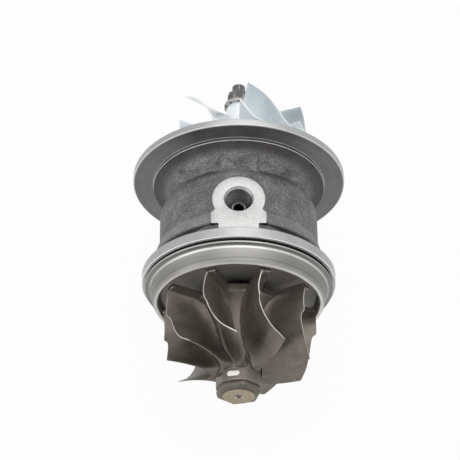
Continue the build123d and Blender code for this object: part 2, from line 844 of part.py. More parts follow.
# Rotor shaft: sealing hub, two journals, the stub for the thrust parts and wheel, and the thread
with BuildPart() as rotor_shaft:
    first_waist = turbine_bush_y + bush_length + waist_margin
    second_waist = compressor_bush_y - waist_margin
    thread_start = compressor_nose_y + nut_counterbore - thread_run_out
    revolve(
        section(
            (0, shaft_hub_front),
            (weld_radius, shaft_hub_front),
            (weld_radius, shaft_hub_front + weld_neck),
            (hub_radius, shaft_hub_front + 2 * weld_neck),
            (hub_radius, hub_end - hub_edge),
            (hub_radius - hub_edge, hub_end),
            (journal_radius + journal_fillet, hub_end),
            (journal_radius, hub_end + journal_fillet),
            (journal_radius, first_waist),
            (waist_radius, first_waist + waist_taper),
            (waist_radius, second_waist - waist_taper),
            (journal_radius, second_waist),
            (journal_radius, thrust_ring_front),
            (stub_radius, thrust_ring_front),
            (stub_radius, thread_start),
            (thread_radius, thread_start + thread_run_out),
            (thread_radius, shaft_end - shaft_chamfer),
            (thread_radius - shaft_chamfer, shaft_end),
            (0, shaft_end),
        ),
        axis=Axis.Y,
    )
    revolve(
        band(
            hub_radius - piston_ring_depth,
            hub_radius + cut_through,
            piston_ring_y - groove_clearance,
            piston_ring_y + piston_ring_thickness + groove_clearance,
        ),
        axis=Axis.Y,
        mode=Mode.SUBTRACT,
    )
rotor_shaft.part.label = "rotor_shaft"
export_step(rotor_shaft.part, "parts/rotor_shaft.step")

# Turbine-end piston ring, sprung into the seal bore
with BuildPart() as turbine_piston_ring:
    ring_inner = hub_radius - piston_ring_depth + groove_clearance
    ring_outer = seal_bore_radius - ring_clearance
    ring_end = piston_ring_y + piston_ring_thickness
    revolve(band(ring_inner, ring_outer, piston_ring_y, ring_end), axis=Axis.Y)
    ring_gap = gap_wedge(
        piston_ring_gap, ring_outer + 2 * cut_through, piston_ring_y - cut_through, ring_end + cut_through
    )
    add(ring_gap, mode=Mode.SUBTRACT)
turbine_piston_ring.part.label = "turbine_piston_ring"
export_step(turbine_piston_ring.part, "parts/turbine_piston_ring.step")


def journal_bush(start):
    """A full floating bearing: chamfered at both ends, with radial oil holes."""
    with BuildPart() as bush:
        end = start + bush_length
        revolve(
            section(
                (bush_inner_radius, start + bush_edge),
                (bush_inner_radius + bush_edge, start),
                (bush_outer_radius - bush_edge, start),
                (bush_outer_radius, start + bush_edge),
                (bush_outer_radius, end - bush_edge),
                (bush_outer_radius - bush_edge, end),
                (bush_inner_radius + bush_edge, end),
                (bush_inner_radius, end - bush_edge),
            ),
            axis=Axis.Y,
        )
        for index in range(bush_hole_count // 2):
            angle = radians(index * 360 / bush_hole_count)
            direction = (sin(angle), 0, cos(angle))
            with Locations(Plane(origin=(0, (start + end) / 2, 0), z_dir=direction)):
                Cylinder(bush_hole_radius, 2 * bush_outer_radius + 2 * cut_through, mode=Mode.SUBTRACT)
    return bush.part


for bush_name, bush_start in (("turbine_bush", turbine_bush_y), ("compressor_bush", compressor_bush_y)):
    bush_part = journal_bush(bush_start)
    bush_part.label = bush_name
    export_step(bush_part, f"parts/{bush_name}.step")

# Bearing retaining rings: three open snap rings in the bore
with BuildPart() as bearing_retaining_rings:
    snap_outer = bore_radius + snap_ring_depth - ring_clearance
    for place in ring_places:
        end = place + snap_ring_thickness
        revolve(band(snap_outer - snap_ring_depth - snap_ring_reach, snap_outer, place, end), axis=Axis.Y)
        snap_gap = gap_wedge(snap_ring_gap / 2, 2 * snap_outer, place - cut_through, end + cut_through)
        add(snap_gap, mode=Mode.SUBTRACT)
bearing_retaining_rings.part.label = "bearing_retaining_rings"
export_step(bearing_retaining_rings.part, "parts/bearing_retaining_rings.step")

# Thrust ring: the hardened washer between the shaft's shoulder and the thrust bearing
with BuildPart() as thrust_ring:
    inner = stub_radius + compressor_bore_clearance
    revolve(band(inner, thrust_ring_radius, thrust_ring_front, thrust_ring_back), axis=Axis.Y)
thrust_ring.part.label = "thrust_ring"
export_step(thrust_ring.part, "parts/thrust_ring.step")


def screw_centres(y):
    """The middles of the thrust bearing's screws at one height along the shaft."""
    turns = [
        radians(thrust_screw_start + index * 360 / thrust_screw_count) for index in range(thrust_screw_count)
    ]
    return [(thrust_screw_circle * cos(turn), y, thrust_screw_circle * sin(turn)) for turn in turns]


# Thrust bearing: a plate with raised pads on both faces, held by three screws
with BuildPart() as thrust_bearing:
    revolve(
        band(thrust_bore_radius, thrust_plate_radius, thrust_face, thrust_plate_back), axis=Axis.Y
    )
    for face_y, depth in ((thrust_face, thrust_pad_relief), (thrust_plate_back, -thrust_pad_relief)):
        with BuildSketch(Plane(origin=(0, face_y, 0), x_dir=(1, 0, 0), z_dir=(0, 1, 0))):
            with PolarLocations(0, thrust_pad_count, start_angle=45):
                with Locations(((collar_radius + thrust_bore_radius) / 2, 0)):
                    Rectangle(collar_radius, thrust_groove_width)
        extrude(amount=depth, mode=Mode.SUBTRACT)
    with BuildSketch(Plane.XZ.offset(-thrust_plate_back)):
        with Locations((0, -thrust_plate_radius)):
            Rectangle(thrust_notch_width, 2 * (thrust_plate_radius - thrust_notch_level))
    extrude(amount=thrust_plate_thickness, mode=Mode.SUBTRACT)
    for centre in screw_centres(thrust_plate_back):
        with Locations(Plane(origin=centre, z_dir=(0, 1, 0))):
            CounterSinkHole(
                thrust_screw_radius + screw_clearance,
                thrust_screw_head_radius + screw_head_sink + screw_clearance,
                thrust_plate_thickness,
                countersink_angle,
            )
thrust_bearing.part.label = "thrust_bearing"
export_step(thrust_bearing.part, "parts/thrust_bearing.step")

# Thrust bearing screws: three countersunk screws with a hexagon socket
with BuildPart() as thrust_bearing_screws:
    head_top = thrust_plate_back - screw_head_sink
    screw_tip = thrust_face - thrust_screw_depth + screw_end_gap
    head_height = thrust_screw_head_radius - thrust_screw_radius
    screw = revolve(
        section(
            (0, head_top),
            (thrust_screw_head_radius, head_top),
            (thrust_screw_radius, head_top - head_height),
            (thrust_screw_radius, screw_tip),
            (0, screw_tip),
        ),
        axis=Axis.Y,
        mode=Mode.PRIVATE,
    )
    with BuildSketch(Plane.XZ.offset(-head_top + thrust_socket_depth), mode=Mode.PRIVATE) as socket:
        RegularPolygon(thrust_socket_radius, 6)
    screw = screw - extrude(socket.sketch, amount=-2 * thrust_socket_depth, mode=Mode.PRIVATE)
    for centre in screw_centres(0):
        add(screw.moved(Location(centre)))
thrust_bearing_screws.part.label = "thrust_bearing_screws"
export_step(thrust_bearing_screws.part, "parts/thrust_bearing_screws.step")

# Thrust collar: a spacer through the thrust bearing with its flange on the far side
with BuildPart() as thrust_collar:
    inner = stub_radius + compressor_bore_clearance
    revolve(
        section(
            (inner, thrust_ring_back),
            (spacer_radius, thrust_ring_back),
            (spacer_radius, collar_front),
            (collar_radius, collar_front),
            (collar_radius, collar_back),
            (inner, collar_back),
        ),
        axis=Axis.Y,
    )
thrust_collar.part.label = "thrust_collar"
export_step(thrust_collar.part, "parts/thrust_collar.step")

# Oil deflector: a thin plate against the seal plate, with a tongue bent down to the drain
with BuildPart() as oil_deflector:
    deflector_y = seal_plate_seat - deflector_thickness - deflector_seat_gap
    deflector_back = deflector_y + deflector_thickness
    revolve(band(deflector_bore_radius, deflector_radius, deflector_y, deflector_back), axis=Axis.Y)
    with BuildSketch(Plane.XZ.offset(-deflector_y + cut_through)):
        with Locations((0, -deflector_radius)):
            Rectangle(
                deflector_tongue_width + 2 * deflector_window_gap,
                2 * (deflector_radius - deflector_tongue_level),
            )
    extrude(amount=-(deflector_thickness + 2 * cut_through), mode=Mode.SUBTRACT)
    with Locations((0, deflector_back, -deflector_tongue_level)):
        Box(
            deflector_tongue_width,
            deflector_tongue_length,
            deflector_thickness,
            align=(Align.CENTER, Align.MAX, Align.MAX),
        )
oil_deflector.part.label = "oil_deflector"
export_step(oil_deflector.part, "parts/oil_deflector.step")

# Seal plate: closes the oil space behind the compressor wheel
with BuildPart() as seal_plate:
    plate_bore = sleeve_radius + hub_clearance
    plate_recess_end = collar_back + sleeve_flange_thickness + sleeve_flange_play
    o_ring_middle = (seal_plate_seat + seal_plate_face) / 2
    o_ring_floor = seal_plate_radius - o_ring_groove_depth
    hub_top = disc_front - seal_plate_hub_sink
    revolve(
        section(
            (plate_bore, plate_recess_end),
            (sleeve_flange_radius + hub_clearance, plate_recess_end),
            (sleeve_flange_radius + hub_clearance, seal_plate_seat),
            (seal_plate_radius - seal_plate_edge, seal_plate_seat),
            (seal_plate_radius, seal_plate_seat + seal_plate_edge),
            (seal_plate_radius, o_ring_middle - o_ring_radius),
            (o_ring_floor, o_ring_middle - o_ring_radius),
            (o_ring_floor, o_ring_middle + o_ring_radius),
            (seal_plate_radius, o_ring_middle + o_ring_radius),
            (seal_plate_radius, seal_plate_face),
            (seal_plate_hub_radius + seal_plate_hub_draft, seal_plate_face),
            (seal_plate_hub_radius, hub_top),
            (plate_bore, hub_top),
        ),
        axis=Axis.Y,
    )
seal_plate.part.label = "seal_plate"
export_step(seal_plate.part, "parts/seal_plate.step")

# Seal plate O-ring, squeezed between the groove and the bore
with BuildPart() as seal_plate_o_ring:
    o_ring_inner = o_ring_floor + o_ring_fit
    o_ring_outer = seal_bore_large - o_ring_fit
    o_ring_height = 2 * (o_ring_radius - o_ring_fit)
    with BuildSketch(Plane.XY):
        with Locations(((o_ring_inner + o_ring_outer) / 2, o_ring_middle)):
            RectangleRounded(o_ring_outer - o_ring_inner, o_ring_height, o_ring_corner)
    revolve(axis=Axis.Y)
seal_plate_o_ring.part.label = "seal_plate_o_ring"
export_step(seal_plate_o_ring.part, "parts/seal_plate_o_ring.step")

# Seal plate retaining ring: a large open snap ring in front of the plate
with BuildPart() as seal_plate_retaining_ring:
    retaining_start = seal_plate_face + groove_clearance
    retaining_end = retaining_start + seal_ring_thickness
    retaining_outer = seal_groove_radius - ring_clearance
    revolve(
        band(retaining_outer - seal_ring_reach, retaining_outer, retaining_start, retaining_end), axis=Axis.Y
    )
    retaining_gap = gap_wedge(
        seal_ring_gap / 2, 2 * retaining_outer, retaining_start - cut_through, retaining_end + cut_through
    )
    add(retaining_gap, mode=Mode.SUBTRACT)
seal_plate_retaining_ring.part.label = "seal_plate_retaining_ring"
export_step(seal_plate_retaining_ring.part, "parts/seal_plate_retaining_ring.step")

# Flinger sleeve: turns in the seal plate and carries the compressor-end piston ring
with BuildPart() as flinger_sleeve:
    inner = stub_radius + compressor_bore_clearance
    sleeve_ring_y = seal_plate_seat + sleeve_ring_place
    revolve(
        section(
            (inner, collar_back),
            (sleeve_flange_radius, collar_back),
            (sleeve_flange_radius, collar_back + sleeve_flange_thickness),
            (sleeve_radius, collar_back + sleeve_flange_thickness + sleeve_flange_draft),
            (sleeve_radius, sleeve_ring_y - groove_clearance),
            (sleeve_radius - piston_ring_depth, sleeve_ring_y - groove_clearance),
            (sleeve_radius - piston_ring_depth, sleeve_ring_y + piston_ring_thickness + groove_clearance),
            (sleeve_radius, sleeve_ring_y + piston_ring_thickness + groove_clearance),
            (sleeve_radius, wheel_back),
            (inner, wheel_back),
        ),
        axis=Axis.Y,
    )
flinger_sleeve.part.label = "flinger_sleeve"
export_step(flinger_sleeve.part, "parts/flinger_sleeve.step")

# Compressor-end piston ring, sprung into the seal plate's bore
with BuildPart() as compressor_piston_ring:
    ring_inner = sleeve_radius - piston_ring_depth + groove_clearance
    ring_outer = plate_bore - ring_clearance
    ring_end = sleeve_ring_y + piston_ring_thickness
    revolve(band(ring_inner, ring_outer, sleeve_ring_y, ring_end), axis=Axis.Y)
    ring_gap = gap_wedge(
        piston_ring_gap, ring_outer + 2 * cut_through, sleeve_ring_y - cut_through, ring_end + cut_through
    )
    add(ring_gap, mode=Mode.SUBTRACT)
compressor_piston_ring.part.label = "compressor_piston_ring"
export_step(compressor_piston_ring.part, "parts/compressor_piston_ring.step")

# Shaft nut: twelve-point with a round flange
with BuildPart() as shaft_nut:
    flange_end = compressor_nose_y + nut_flange_thickness
    with BuildSketch(Plane.XZ.offset(-compressor_nose_y)):
        for turn in (0, 180 / nut_points):
            RegularPolygon(nut_radius, nut_points // 2, rotation=turn)
    extrude(amount=-nut_height)
    revolve(
        section(
            (0, compressor_nose_y),
            (nut_flange_radius - nut_flange_edge, compressor_nose_y),
            (nut_flange_radius, compressor_nose_y + nut_flange_edge),
            (nut_flange_radius, flange_end - nut_flange_draft),
            (nut_radius, flange_end),
            (0, flange_end),
        ),
        axis=Axis.Y,
    )
    revolve(
        band(
            0, thread_radius + thread_clearance, compressor_nose_y - cut_through, nut_end + cut_through
        ),
        axis=Axis.Y,
        mode=Mode.SUBTRACT,
    )
    revolve(
        band(
            0,
            stub_radius + thread_clearance,
            compressor_nose_y - cut_through,
            compressor_nose_y + nut_counterbore,
        ),
        axis=Axis.Y,
        mode=Mode.SUBTRACT,
    )
shaft_nut.part.label = "shaft_nut"
export_step(shaft_nut.part, "parts/shaft_nut.step")
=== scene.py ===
from math import atan2, cos, degrees, exp, hypot, pi, radians, sin, sqrt

import bpy
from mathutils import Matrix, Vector, noise


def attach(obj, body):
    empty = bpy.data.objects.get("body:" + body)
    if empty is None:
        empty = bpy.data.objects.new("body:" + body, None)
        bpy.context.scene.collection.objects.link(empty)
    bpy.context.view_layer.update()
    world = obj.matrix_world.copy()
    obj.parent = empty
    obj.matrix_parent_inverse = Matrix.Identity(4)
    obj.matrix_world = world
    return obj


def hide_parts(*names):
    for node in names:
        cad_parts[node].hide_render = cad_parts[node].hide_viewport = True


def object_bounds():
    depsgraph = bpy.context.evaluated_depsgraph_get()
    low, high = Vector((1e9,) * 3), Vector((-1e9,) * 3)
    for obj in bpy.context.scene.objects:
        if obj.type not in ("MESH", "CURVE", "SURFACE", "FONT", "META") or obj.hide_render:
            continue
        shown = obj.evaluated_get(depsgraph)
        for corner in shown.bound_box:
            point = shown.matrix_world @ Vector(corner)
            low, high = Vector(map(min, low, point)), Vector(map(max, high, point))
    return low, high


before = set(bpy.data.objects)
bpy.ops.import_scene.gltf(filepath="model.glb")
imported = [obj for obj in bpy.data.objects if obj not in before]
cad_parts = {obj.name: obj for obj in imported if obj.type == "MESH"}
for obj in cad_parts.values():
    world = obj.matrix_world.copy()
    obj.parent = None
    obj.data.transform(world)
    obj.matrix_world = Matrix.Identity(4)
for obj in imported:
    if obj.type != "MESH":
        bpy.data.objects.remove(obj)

MM = 0.001
cad_low, cad_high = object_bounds()

# Photograph: the camera stands on the turbine side, above the shaft
PHOTO_WIDTH = 460
PHOTO_SHAFT_COLUMN = 238.7
PHOTO_FOCAL_PIXELS = 1500.0
CAMERA_ELEVATION = 58.2
CAMERA_DISTANCE = 756.0
CAMERA_AIM = Vector((0, 32.9, 0)) * MM
SENSOR_WIDTH = 36.0

# Housing sizes, in millimetres
SKIN = 0.03
RING_RADIUS = 47.7
RING_WIDTH = 5.2
RING_EDGE = 0.25
RING_BACK_EDGE = 0.35
RING_FACE_INNER = 46.1
SEAT_INNER = 43.0
SEAT_OUTER = 44.0
SEAT_DEPTH = 1.6
# The seat stands higher than on the solid model, so that a gap shows round the shield's rim
SEAT_HEIGHT = 1.4
SEAT_STEP = 0.62
SEAT_STEP_OUTER = 45.2
BAND_START = 11.7
WEB_RADIUS = 43.7
MACHINED_FACE = 59.2
DISC_RADIUS = 54.0
DISC_FRONT = 63.1
DISC_INNER = 42.6
DISC_FOOT = 57.4
PAD_HEIGHT = 42.0
PAD_THICKNESS = 5.0
INLET_Y = 24.5
PAD_RADIUS = 12.75
INLET_RADIUS = 7.0
INLET_DEPTH = 11.8
TAP_RADIUS = 6.2
THREAD_PITCH = 1.5
THREAD_DEPTH = 0.6
FEED_RADIUS = 2.3
FEED_RING = 3.6
FEED_RING_HEIGHT = 3.6
DRAIN_Y = 28.5
DRAIN_RADIUS = 11.0
DRAIN_NECK = 15.0

# Turbine wheel sizes
TURBINE_BLADES = 9
TURBINE_FIRST = 20.0
TURBINE_RADIUS = 37.8
TURBINE_BACK = 9.8
SCALLOP_BOTTOM = 21.8
SCALLOP_SIDE = (4.9, 22.05)
SCALLOP_SLOPES = (0.43, 0.36)
TURBINE_HUB = [(37.7, 11.7), (30, 12.6), (22, 14.1), (17.2, 18.8), (13.4, 29), (11.9, 41.5), (10.9, 50.5)]
TURBINE_WRAP = [
    (7, -2.2), (11.1, -2.6), (14, -4.2), (20, -5.8), (25.5, -4.8), (30, -2.4), (34.5, 1.5), (39, 8), (43.1, 18.7),
    (47, 27.5), (51.5, 33),
]
NOSE_RADIUS = 10.8
NOSE_END = 55.8
TURBINE_END = 59.6
BOSS_CORNER = 11.2
BOSS_TURN = 13
BOSS_LENGTH = 4.0
BOSS_MIDDLE = -57.1
BOSS_BEVEL = 1.5
DRILLING_RADIUS = 2.0
CUT_DEPTH = 0.5
CUTTER_LENGTH = 6.0

# Compressor wheel sizes
COMPRESSOR_BLADES = 6
COMPRESSOR_FIRST = 8.0
COMPRESSOR_BACK = DISC_FRONT + 0.9
COMPRESSOR_WRAP = [(63.5, 47), (67, 42), (72, 36), (77, 31.8), (82, 28.4), (87, 24.2), (92, 18), (97, 9), (101.5, -3)]
COMPRESSOR_HUB = [(44, 65.1), (30, 67.2), (18, 73.5), (11, 84), (8.2, 95), (6.4, 108.5)]
COMPRESSOR_SHROUD = [(44, 70.3), (40.8, 74.2), (38.6, 78.0), (36.6, 84.0), (35.2, 92.0), (34.6, 100.4)]
INDUCER_Y = 100.4
SPLITTER_Y = 88.0
COMPRESSOR_BORE = 4.02

# Shaft nut sizes
NUT_START = 108.5
NUT_BORE = 3.55
NUT_FLANGE = [(NUT_BORE, 0), (7.1, 0), (7.5, 0.25), (7.7, 0.7), (7.65, 1.7), (7.2, 2.5), (6.3, 3.0), (NUT_BORE, 3.0)]
NUT_POINTS = 12
NUT_POINT_ROOT = 5.2
NUT_POINT_DEPTH = 0.7
NUT_POINT_LENGTH = 6.4
NUT_POINT_MIDDLE = 5.8
NUT_SLOTS = 10
NUT_SLOT_SIZE = (1.3, 0.9, 3.0)
NUT_SLOT_RADIUS = 7.5

# A turned outline stops just short of the axis
ON_AXIS = 0.001


def deselect():
    """Nothing stays selected, so an operator acts on the new piece alone."""
    if bpy.context.mode != "OBJECT":
        bpy.ops.object.mode_set(mode="OBJECT")
    bpy.ops.object.select_all(action="DESELECT")


def choose(piece):
    """Only this piece is selected and active."""
    deselect()
    piece.select_set(True)
    bpy.context.view_layer.objects.active = piece


def interpolate(points, x):
    """A smooth curve through (x, value) points."""
    points = sorted(points)
    if x <= points[0][0]:
        return points[0][1]
    if x >= points[-1][0]:
        return points[-1][1]
    index = next(i for i in range(len(points) - 1) if x <= points[i + 1][0])

    def slope(i):
        low, high = max(i - 1, 0), min(i + 1, len(points) - 1)
        return (points[high][1] - points[low][1]) / (points[high][0] - points[low][0])

    (x0, y0), (x1, y1) = points[index], points[index + 1]
    step = x1 - x0
    t = (x - x0) / step
    return (
        y0 * (2 * t**3 - 3 * t**2 + 1)
        + slope(index) * step * (t**3 - 2 * t**2 + t)
        + y1 * (3 * t**2 - 2 * t**3)
        + slope(index + 1) * step * (t**3 - t**2)
    )


def along(points, t):
    """The place at share t of the length of a smooth line through (radius, y) points."""
    lengths = [0.0]
    for (r0, y0), (r1, y1) in zip(points, points[1:]):
        lengths.append(lengths[-1] + hypot(r1 - r0, y1 - y0))
    at = t * lengths[-1]
    radius = interpolate([(length, p[0]) for length, p in zip(lengths, points)], at)
    height = interpolate([(length, p[1]) for length, p in zip(lengths, points)], at)
    return radius, height


def smooth_max(a, b, soft):
    """The larger of two values, rounded where they meet."""
    h = max(soft - abs(a - b), 0) / soft
    return max(a, b) + h * h * soft / 4


def polar(radius, angle, y):
    """A point at an angle from +Z towards +X."""
    turn = radians(angle)
    return Vector((radius * sin(turn), y, radius * cos(turn)))


def edit_all():
    """Edit mode, with the whole of the active piece selected."""
    bpy.ops.object.mode_set(mode="EDIT")
    bpy.ops.mesh.select_all(action="SELECT")


def tidy_mesh():
    """Merges doubles and turns the faces of the active piece outwards."""
    edit_all()
    bpy.ops.mesh.remove_doubles(threshold=0.00001)
    bpy.ops.mesh.normals_make_consistent(inside=False)
    bpy.ops.object.mode_set(mode="OBJECT")


def smooth(angle):
    """Shades the active piece smooth, apart from its edges past this angle."""
    bpy.ops.object.shade_smooth_by_angle(angle=radians(angle))


def new_piece(name, points, edges, faces):
    """A piece from points in millimetres. It is selected and active."""
    deselect()
    mesh = bpy.data.meshes.new(name)
    mesh.from_pydata([Vector(point) * MM for point in points], edges, faces)
    piece = bpy.data.objects.new(name, mesh)
    bpy.context.scene.collection.objects.link(piece)
    choose(piece)
    return piece


def mesh_piece(name, points, faces, smooth_angle, finishes=None):
    """A closed mesh from points in millimetres, with its faces turned outwards."""
    piece = new_piece(name, points, [], faces)
    if finishes:
        piece.data.polygons.foreach_set("material_index", finishes)
    tidy_mesh()
    smooth(smooth_angle)
    return piece


def turned(name, profile, steps, smooth_angle=35, centre=None):
    """A turned piece: its closed outline is spun round the shaft, or round an upright axis."""
    count = len(profile)
    places = [(r, height, 0) if centre is None else (r, centre, height) for r, height in profile]
    piece = new_piece(name, places, [(i, (i + 1) % count) for i in range(count)], [])
    middle, axis = ((0, 0, 0), (0, 1, 0)) if centre is None else ((0, centre * MM, 0), (0, 0, 1))
    edit_all()
    bpy.ops.mesh.spin(steps=steps, angle=2 * pi, center=middle, axis=axis)
    tidy_mesh()
    smooth(smooth_angle)
    return piece


def shaft_cylinder(vertices, radius, length, y):
    """A cylinder on the shaft's axis, with its middle at y."""
    deselect()
    bpy.ops.mesh.primitive_cylinder_add(
        vertices=vertices, radius=radius * MM, depth=length * MM, location=(0, y * MM, 0), rotation=(pi / 2, 0, 0)
    )
    bpy.ops.object.transform_apply(location=True, rotation=True, scale=True)
    return bpy.context.object


def modify(piece, kind, **settings):
    """Adds a modifier with its settings to a piece, and applies it."""
    choose(piece)
    modifier = piece.modifiers.new("change", kind)
    for name, value in settings.items():
        setattr(modifier, name, value)
    bpy.ops.object.modifier_apply(modifier=modifier.name)


def add_bevel(piece, width, segments, limit):
    """Breaks the edges of a piece that are sharper than the limit."""
    modify(piece, "BEVEL", width=width * MM, segments=segments, limit_method="ANGLE", angle_limit=radians(limit))


def cut_away(piece, cutter):
    """Takes the cutter's shape out of a piece, and removes the cutter."""
    modify(piece, "BOOLEAN", operation="DIFFERENCE", solver="EXACT", object=cutter)
    bpy.data.objects.remove(cutter)


def join_pieces(pieces, name):
    """Several closed shells that make one piece."""
    deselect()
    for piece in pieces:
        piece.select_set(True)
    bpy.context.view_layer.objects.active = pieces[0]
    bpy.ops.object.transform_apply(location=True, rotation=True, scale=True)
    bpy.ops.object.join()
    pieces[0].name = name
    return pieces[0]


def copies_round(first, count, name):
    """Copies of a piece round the shaft, each with its own mesh, joined with the first."""
    pieces = [first]
    for index in range(1, count):
        copy = first.copy()
        copy.data = first.data.copy()
        bpy.context.scene.collection.objects.link(copy)
        copy.rotation_euler = (0, 2 * pi * index / count, 0)
        pieces.append(copy)
    return join_pieces(pieces, name)


# Materials
def material(name, base, metallic, roughness):
    """A principled material, ready for its patterns."""
    made = bpy.data.materials.new(name)
    made.use_nodes = True
    shader = made.node_tree.nodes["Principled BSDF"]
    shader.inputs["Base Color"].default_value = (*base, 1)
    shader.inputs["Metallic"].default_value = metallic
    shader.inputs["Roughness"].default_value = roughness
    return made, made.node_tree, shader


def put(tree, socket, value):
    """Links a socket, or sets a number on it."""
    if isinstance(value, bpy.types.NodeSocket):
        tree.links.new(value, socket)
    else:
        socket.default_value = value


def add_node(tree, kind, **inputs):
    """A new shader node, with the inputs named set or linked."""
    node = tree.nodes.new("ShaderNode" + kind)
    for name, value in inputs.items():
        put(tree, node.inputs[name], value)
    return node


def math_node(tree, operation, a, b=0.0):
    node = add_node(tree, "Math")
    node.operation = operation
    put(tree, node.inputs[0], a)
    put(tree, node.inputs[1], b)
    return node.outputs[0]


def times(tree, a, b):
    return math_node(tree, "MULTIPLY", a, b)


def noise_node(tree, vector, scale, detail, rough):
    node = add_node(tree, "TexNoise", Vector=vector, Scale=scale, Detail=detail, Roughness=rough)
    return node.outputs["Fac"]


def blend_two(tree, first, second, share):
    """A weighted sum of two patterns."""
    return math_node(tree, "ADD", times(tree, first, share), times(tree, second, 1 - share))


def ramp(tree, value, stops):
    """A colour ramp from (place, colour) stops."""
    node = add_node(tree, "ValToRGB", Fac=value)
    elements = node.color_ramp.elements
    while len(elements) < len(stops):
        elements.new(0.5)
    for element, (place, colour) in zip(elements, stops):
        element.position = place
        element.color = (*colour, 1)
    return node.outputs["Color"]


def grey(value):
    return (value, value, value)


def mottle(tree, first, second, share, stops):
    """A colour that follows a weighted sum of two patterns."""
    return ramp(tree, blend_two(tree, first, second, share), stops)


def span(tree, value, low, high):
    """How far a length in millimetres has come from low to high, held between 0 and 1."""
    node = add_node(tree, "MapRange", Value=value)
    node.inputs["From Min"].default_value = low * MM
    node.inputs["From Max"].default_value = high * MM
    return node.outputs["Result"]


def between(tree, value, start, full, fading, gone):
    """1 from full to fading, and 0 before start and past gone, all in millimetres."""
    return times(tree, span(tree, value, start, full), span(tree, value, gone, fading))


def mix_colours(tree, share, first, second, blend="MIX"):
    node = add_node(tree, "Mix")
    node.data_type = "RGBA"
    node.blend_type = blend
    put(tree, node.inputs["Factor"], share)
    for socket, value in ((node.inputs[6], first), (node.inputs[7], second)):
        put(tree, socket, value if isinstance(value, bpy.types.NodeSocket) else (*value, 1))
    return node.outputs[2]


def stops_ramp(tree, value, stops):
    """A warm grey that follows (millimetres, tone) stops."""
    low, high = stops[0][0] - 0.5, stops[-1][0] + 0.5
    tones = [((at - low) / (high - low), (tone, tone * 0.985, tone * 0.945)) for at, tone in stops]
    return ramp(tree, span(tree, value, low, high), tones)


def object_point(tree):
    """The point on the object, in the object's own frame."""
    return add_node(tree, "TexCoord").outputs["Object"]


def pair(tree, first, second):
    """A pattern space of two lengths alone."""
    return add_node(tree, "CombineXYZ", X=first, Y=second).outputs[0]


def place_nodes(tree):
    """The point on the object, and its x, y, z and distance from the shaft."""
    place = object_point(tree)
    split = add_node(tree, "SeparateXYZ", Vector=place)
    length = add_node(tree, "VectorMath")
    length.operation = "LENGTH"
    tree.links.new(pair(tree, split.outputs["X"], split.outputs["Z"]), length.inputs[0])
    return place, split.outputs["X"], split.outputs["Y"], split.outputs["Z"], length.outputs["Value"]


def tool_marks(tree, radius, y, scale, rough=0.6):
    """Turned marks: a noise that depends on radius and y alone."""
    return noise_node(tree, pair(tree, radius, y), scale, 2.0, rough)


def add_bump(tree, shader, height, distance):
    node = add_node(tree, "Bump", Distance=distance * MM, Height=height)
    tree.links.new(node.outputs["Normal"], shader.inputs["Normal"])


def add_shine(tree, shader, pattern, low, high, end=0.7):
    """Roughness that follows a pattern, from low to high."""
    put(tree, shader.inputs["Roughness"], ramp(tree, pattern, [(0.3, grey(low)), (end, grey(high))]))


def housing_material():
    """Grey iron as cast, rougher and lighter on the neck, partly as painted light, with milled feet on the drain
    flange, and painted shade in its recesses and on the web.
    """
    made, tree, shader = material("cast_iron", grey(0.12), 0.35, 0.6)
    place, x, y, z, _ = place_nodes(tree)
    broad = noise_node(tree, place, 110.0, 5.0, 0.6)
    fine = noise_node(tree, place, 1300.0, 3.0, 0.7)
    coarse = noise_node(tree, place, 950.0, 4.0, 0.7)
    barrel = mottle(tree, fine, broad, 0.62, [(0.37, grey(0.07)), (0.52, grey(0.19)), (0.66, grey(0.38))])
    # The neck's lighter tone is partly its rougher cast skin and partly painted light
    neck = mottle(tree, coarse, broad, 0.6, [(0.36, grey(0.08)), (0.5, grey(0.23)), (0.64, grey(0.48))])
    # Painted shade: the web that faces the disc is darker
    web = mottle(tree, fine, broad, 0.6, [(0.36, (0.062, 0.058, 0.054)), (0.64, (0.21, 0.2, 0.19))])
    wander = math_node(tree, "ADD", y, times(tree, broad, 2 * MM))
    colour = mix_colours(tree, between(tree, wander, 44.8, 47.2, 54.2, 57.6), barrel, neck)
    colour = mix_colours(tree, span(tree, wander, 56.2, 58.0), colour, web)
    # Painted shade where the neck begins beside the pad, a lighter band behind the groove, and painted shade in the
    # groove
    painted_shade_by_neck = between(tree, wander, 41.4, 44.4, 45.2, 47.4)
    beside = between(tree, math_node(tree, "ABSOLUTE", x), 8.0, 13.0, 20.0, 32.0)
    band = between(tree, y, 11.6, 11.9, 19.2, 19.5)
    groove = between(tree, y, 5.0, 7.0, 10.8, 12.6)
    for where, share, tone in ((times(tree, painted_shade_by_neck, beside), 0.6, 0.012), (band, 0.16, 0.55), (groove, 0.1, 0.02)):
        colour = mix_colours(tree, times(tree, where, share), colour, grey(tone))
    # Painted shadow: near black in the gap inside the ring, round the shield's seat
    painted_gap_shadow = span(tree, y, 2.2, 1.8)
    colour = mix_colours(tree, painted_gap_shadow, colour, grey(0.008))
    milled = span(tree, times(tree, z, -1.0), 53.85, 53.95)
    marks = ramp(tree, fine, [(0.35, grey(0.34)), (0.65, grey(0.5))])
    put(tree, shader.inputs["Base Color"], mix_colours(tree, milled, colour, marks))
    add_shine(tree, shader, broad, 0.52, 0.7)
    add_bump(tree, shader, blend_two(tree, coarse, fine, 0.5), 0.16)
    return made


TOOL_MARKS = 2600.0


def turned_material(name, dark, light, roughness):
    """A machined face: concentric tool marks and faint blotches."""
    made, tree, shader = material(name, light, 1.0, roughness)
    place, _, y, _, radius = place_nodes(tree)
    rings = tool_marks(tree, radius, y, TOOL_MARKS)
    blotches = noise_node(tree, place, 70.0, 5.0, 0.6)
    put(tree, shader.inputs["Base Color"], mottle(tree, rings, blotches, 0.45, [(0.35, dark), (0.65, light)]))
    add_shine(tree, shader, blotches, roughness - 0.06, roughness + 0.1, 0.75)
    add_bump(tree, shader, rings, 0.006)
    return made


SHIELD_RIM = 46.5
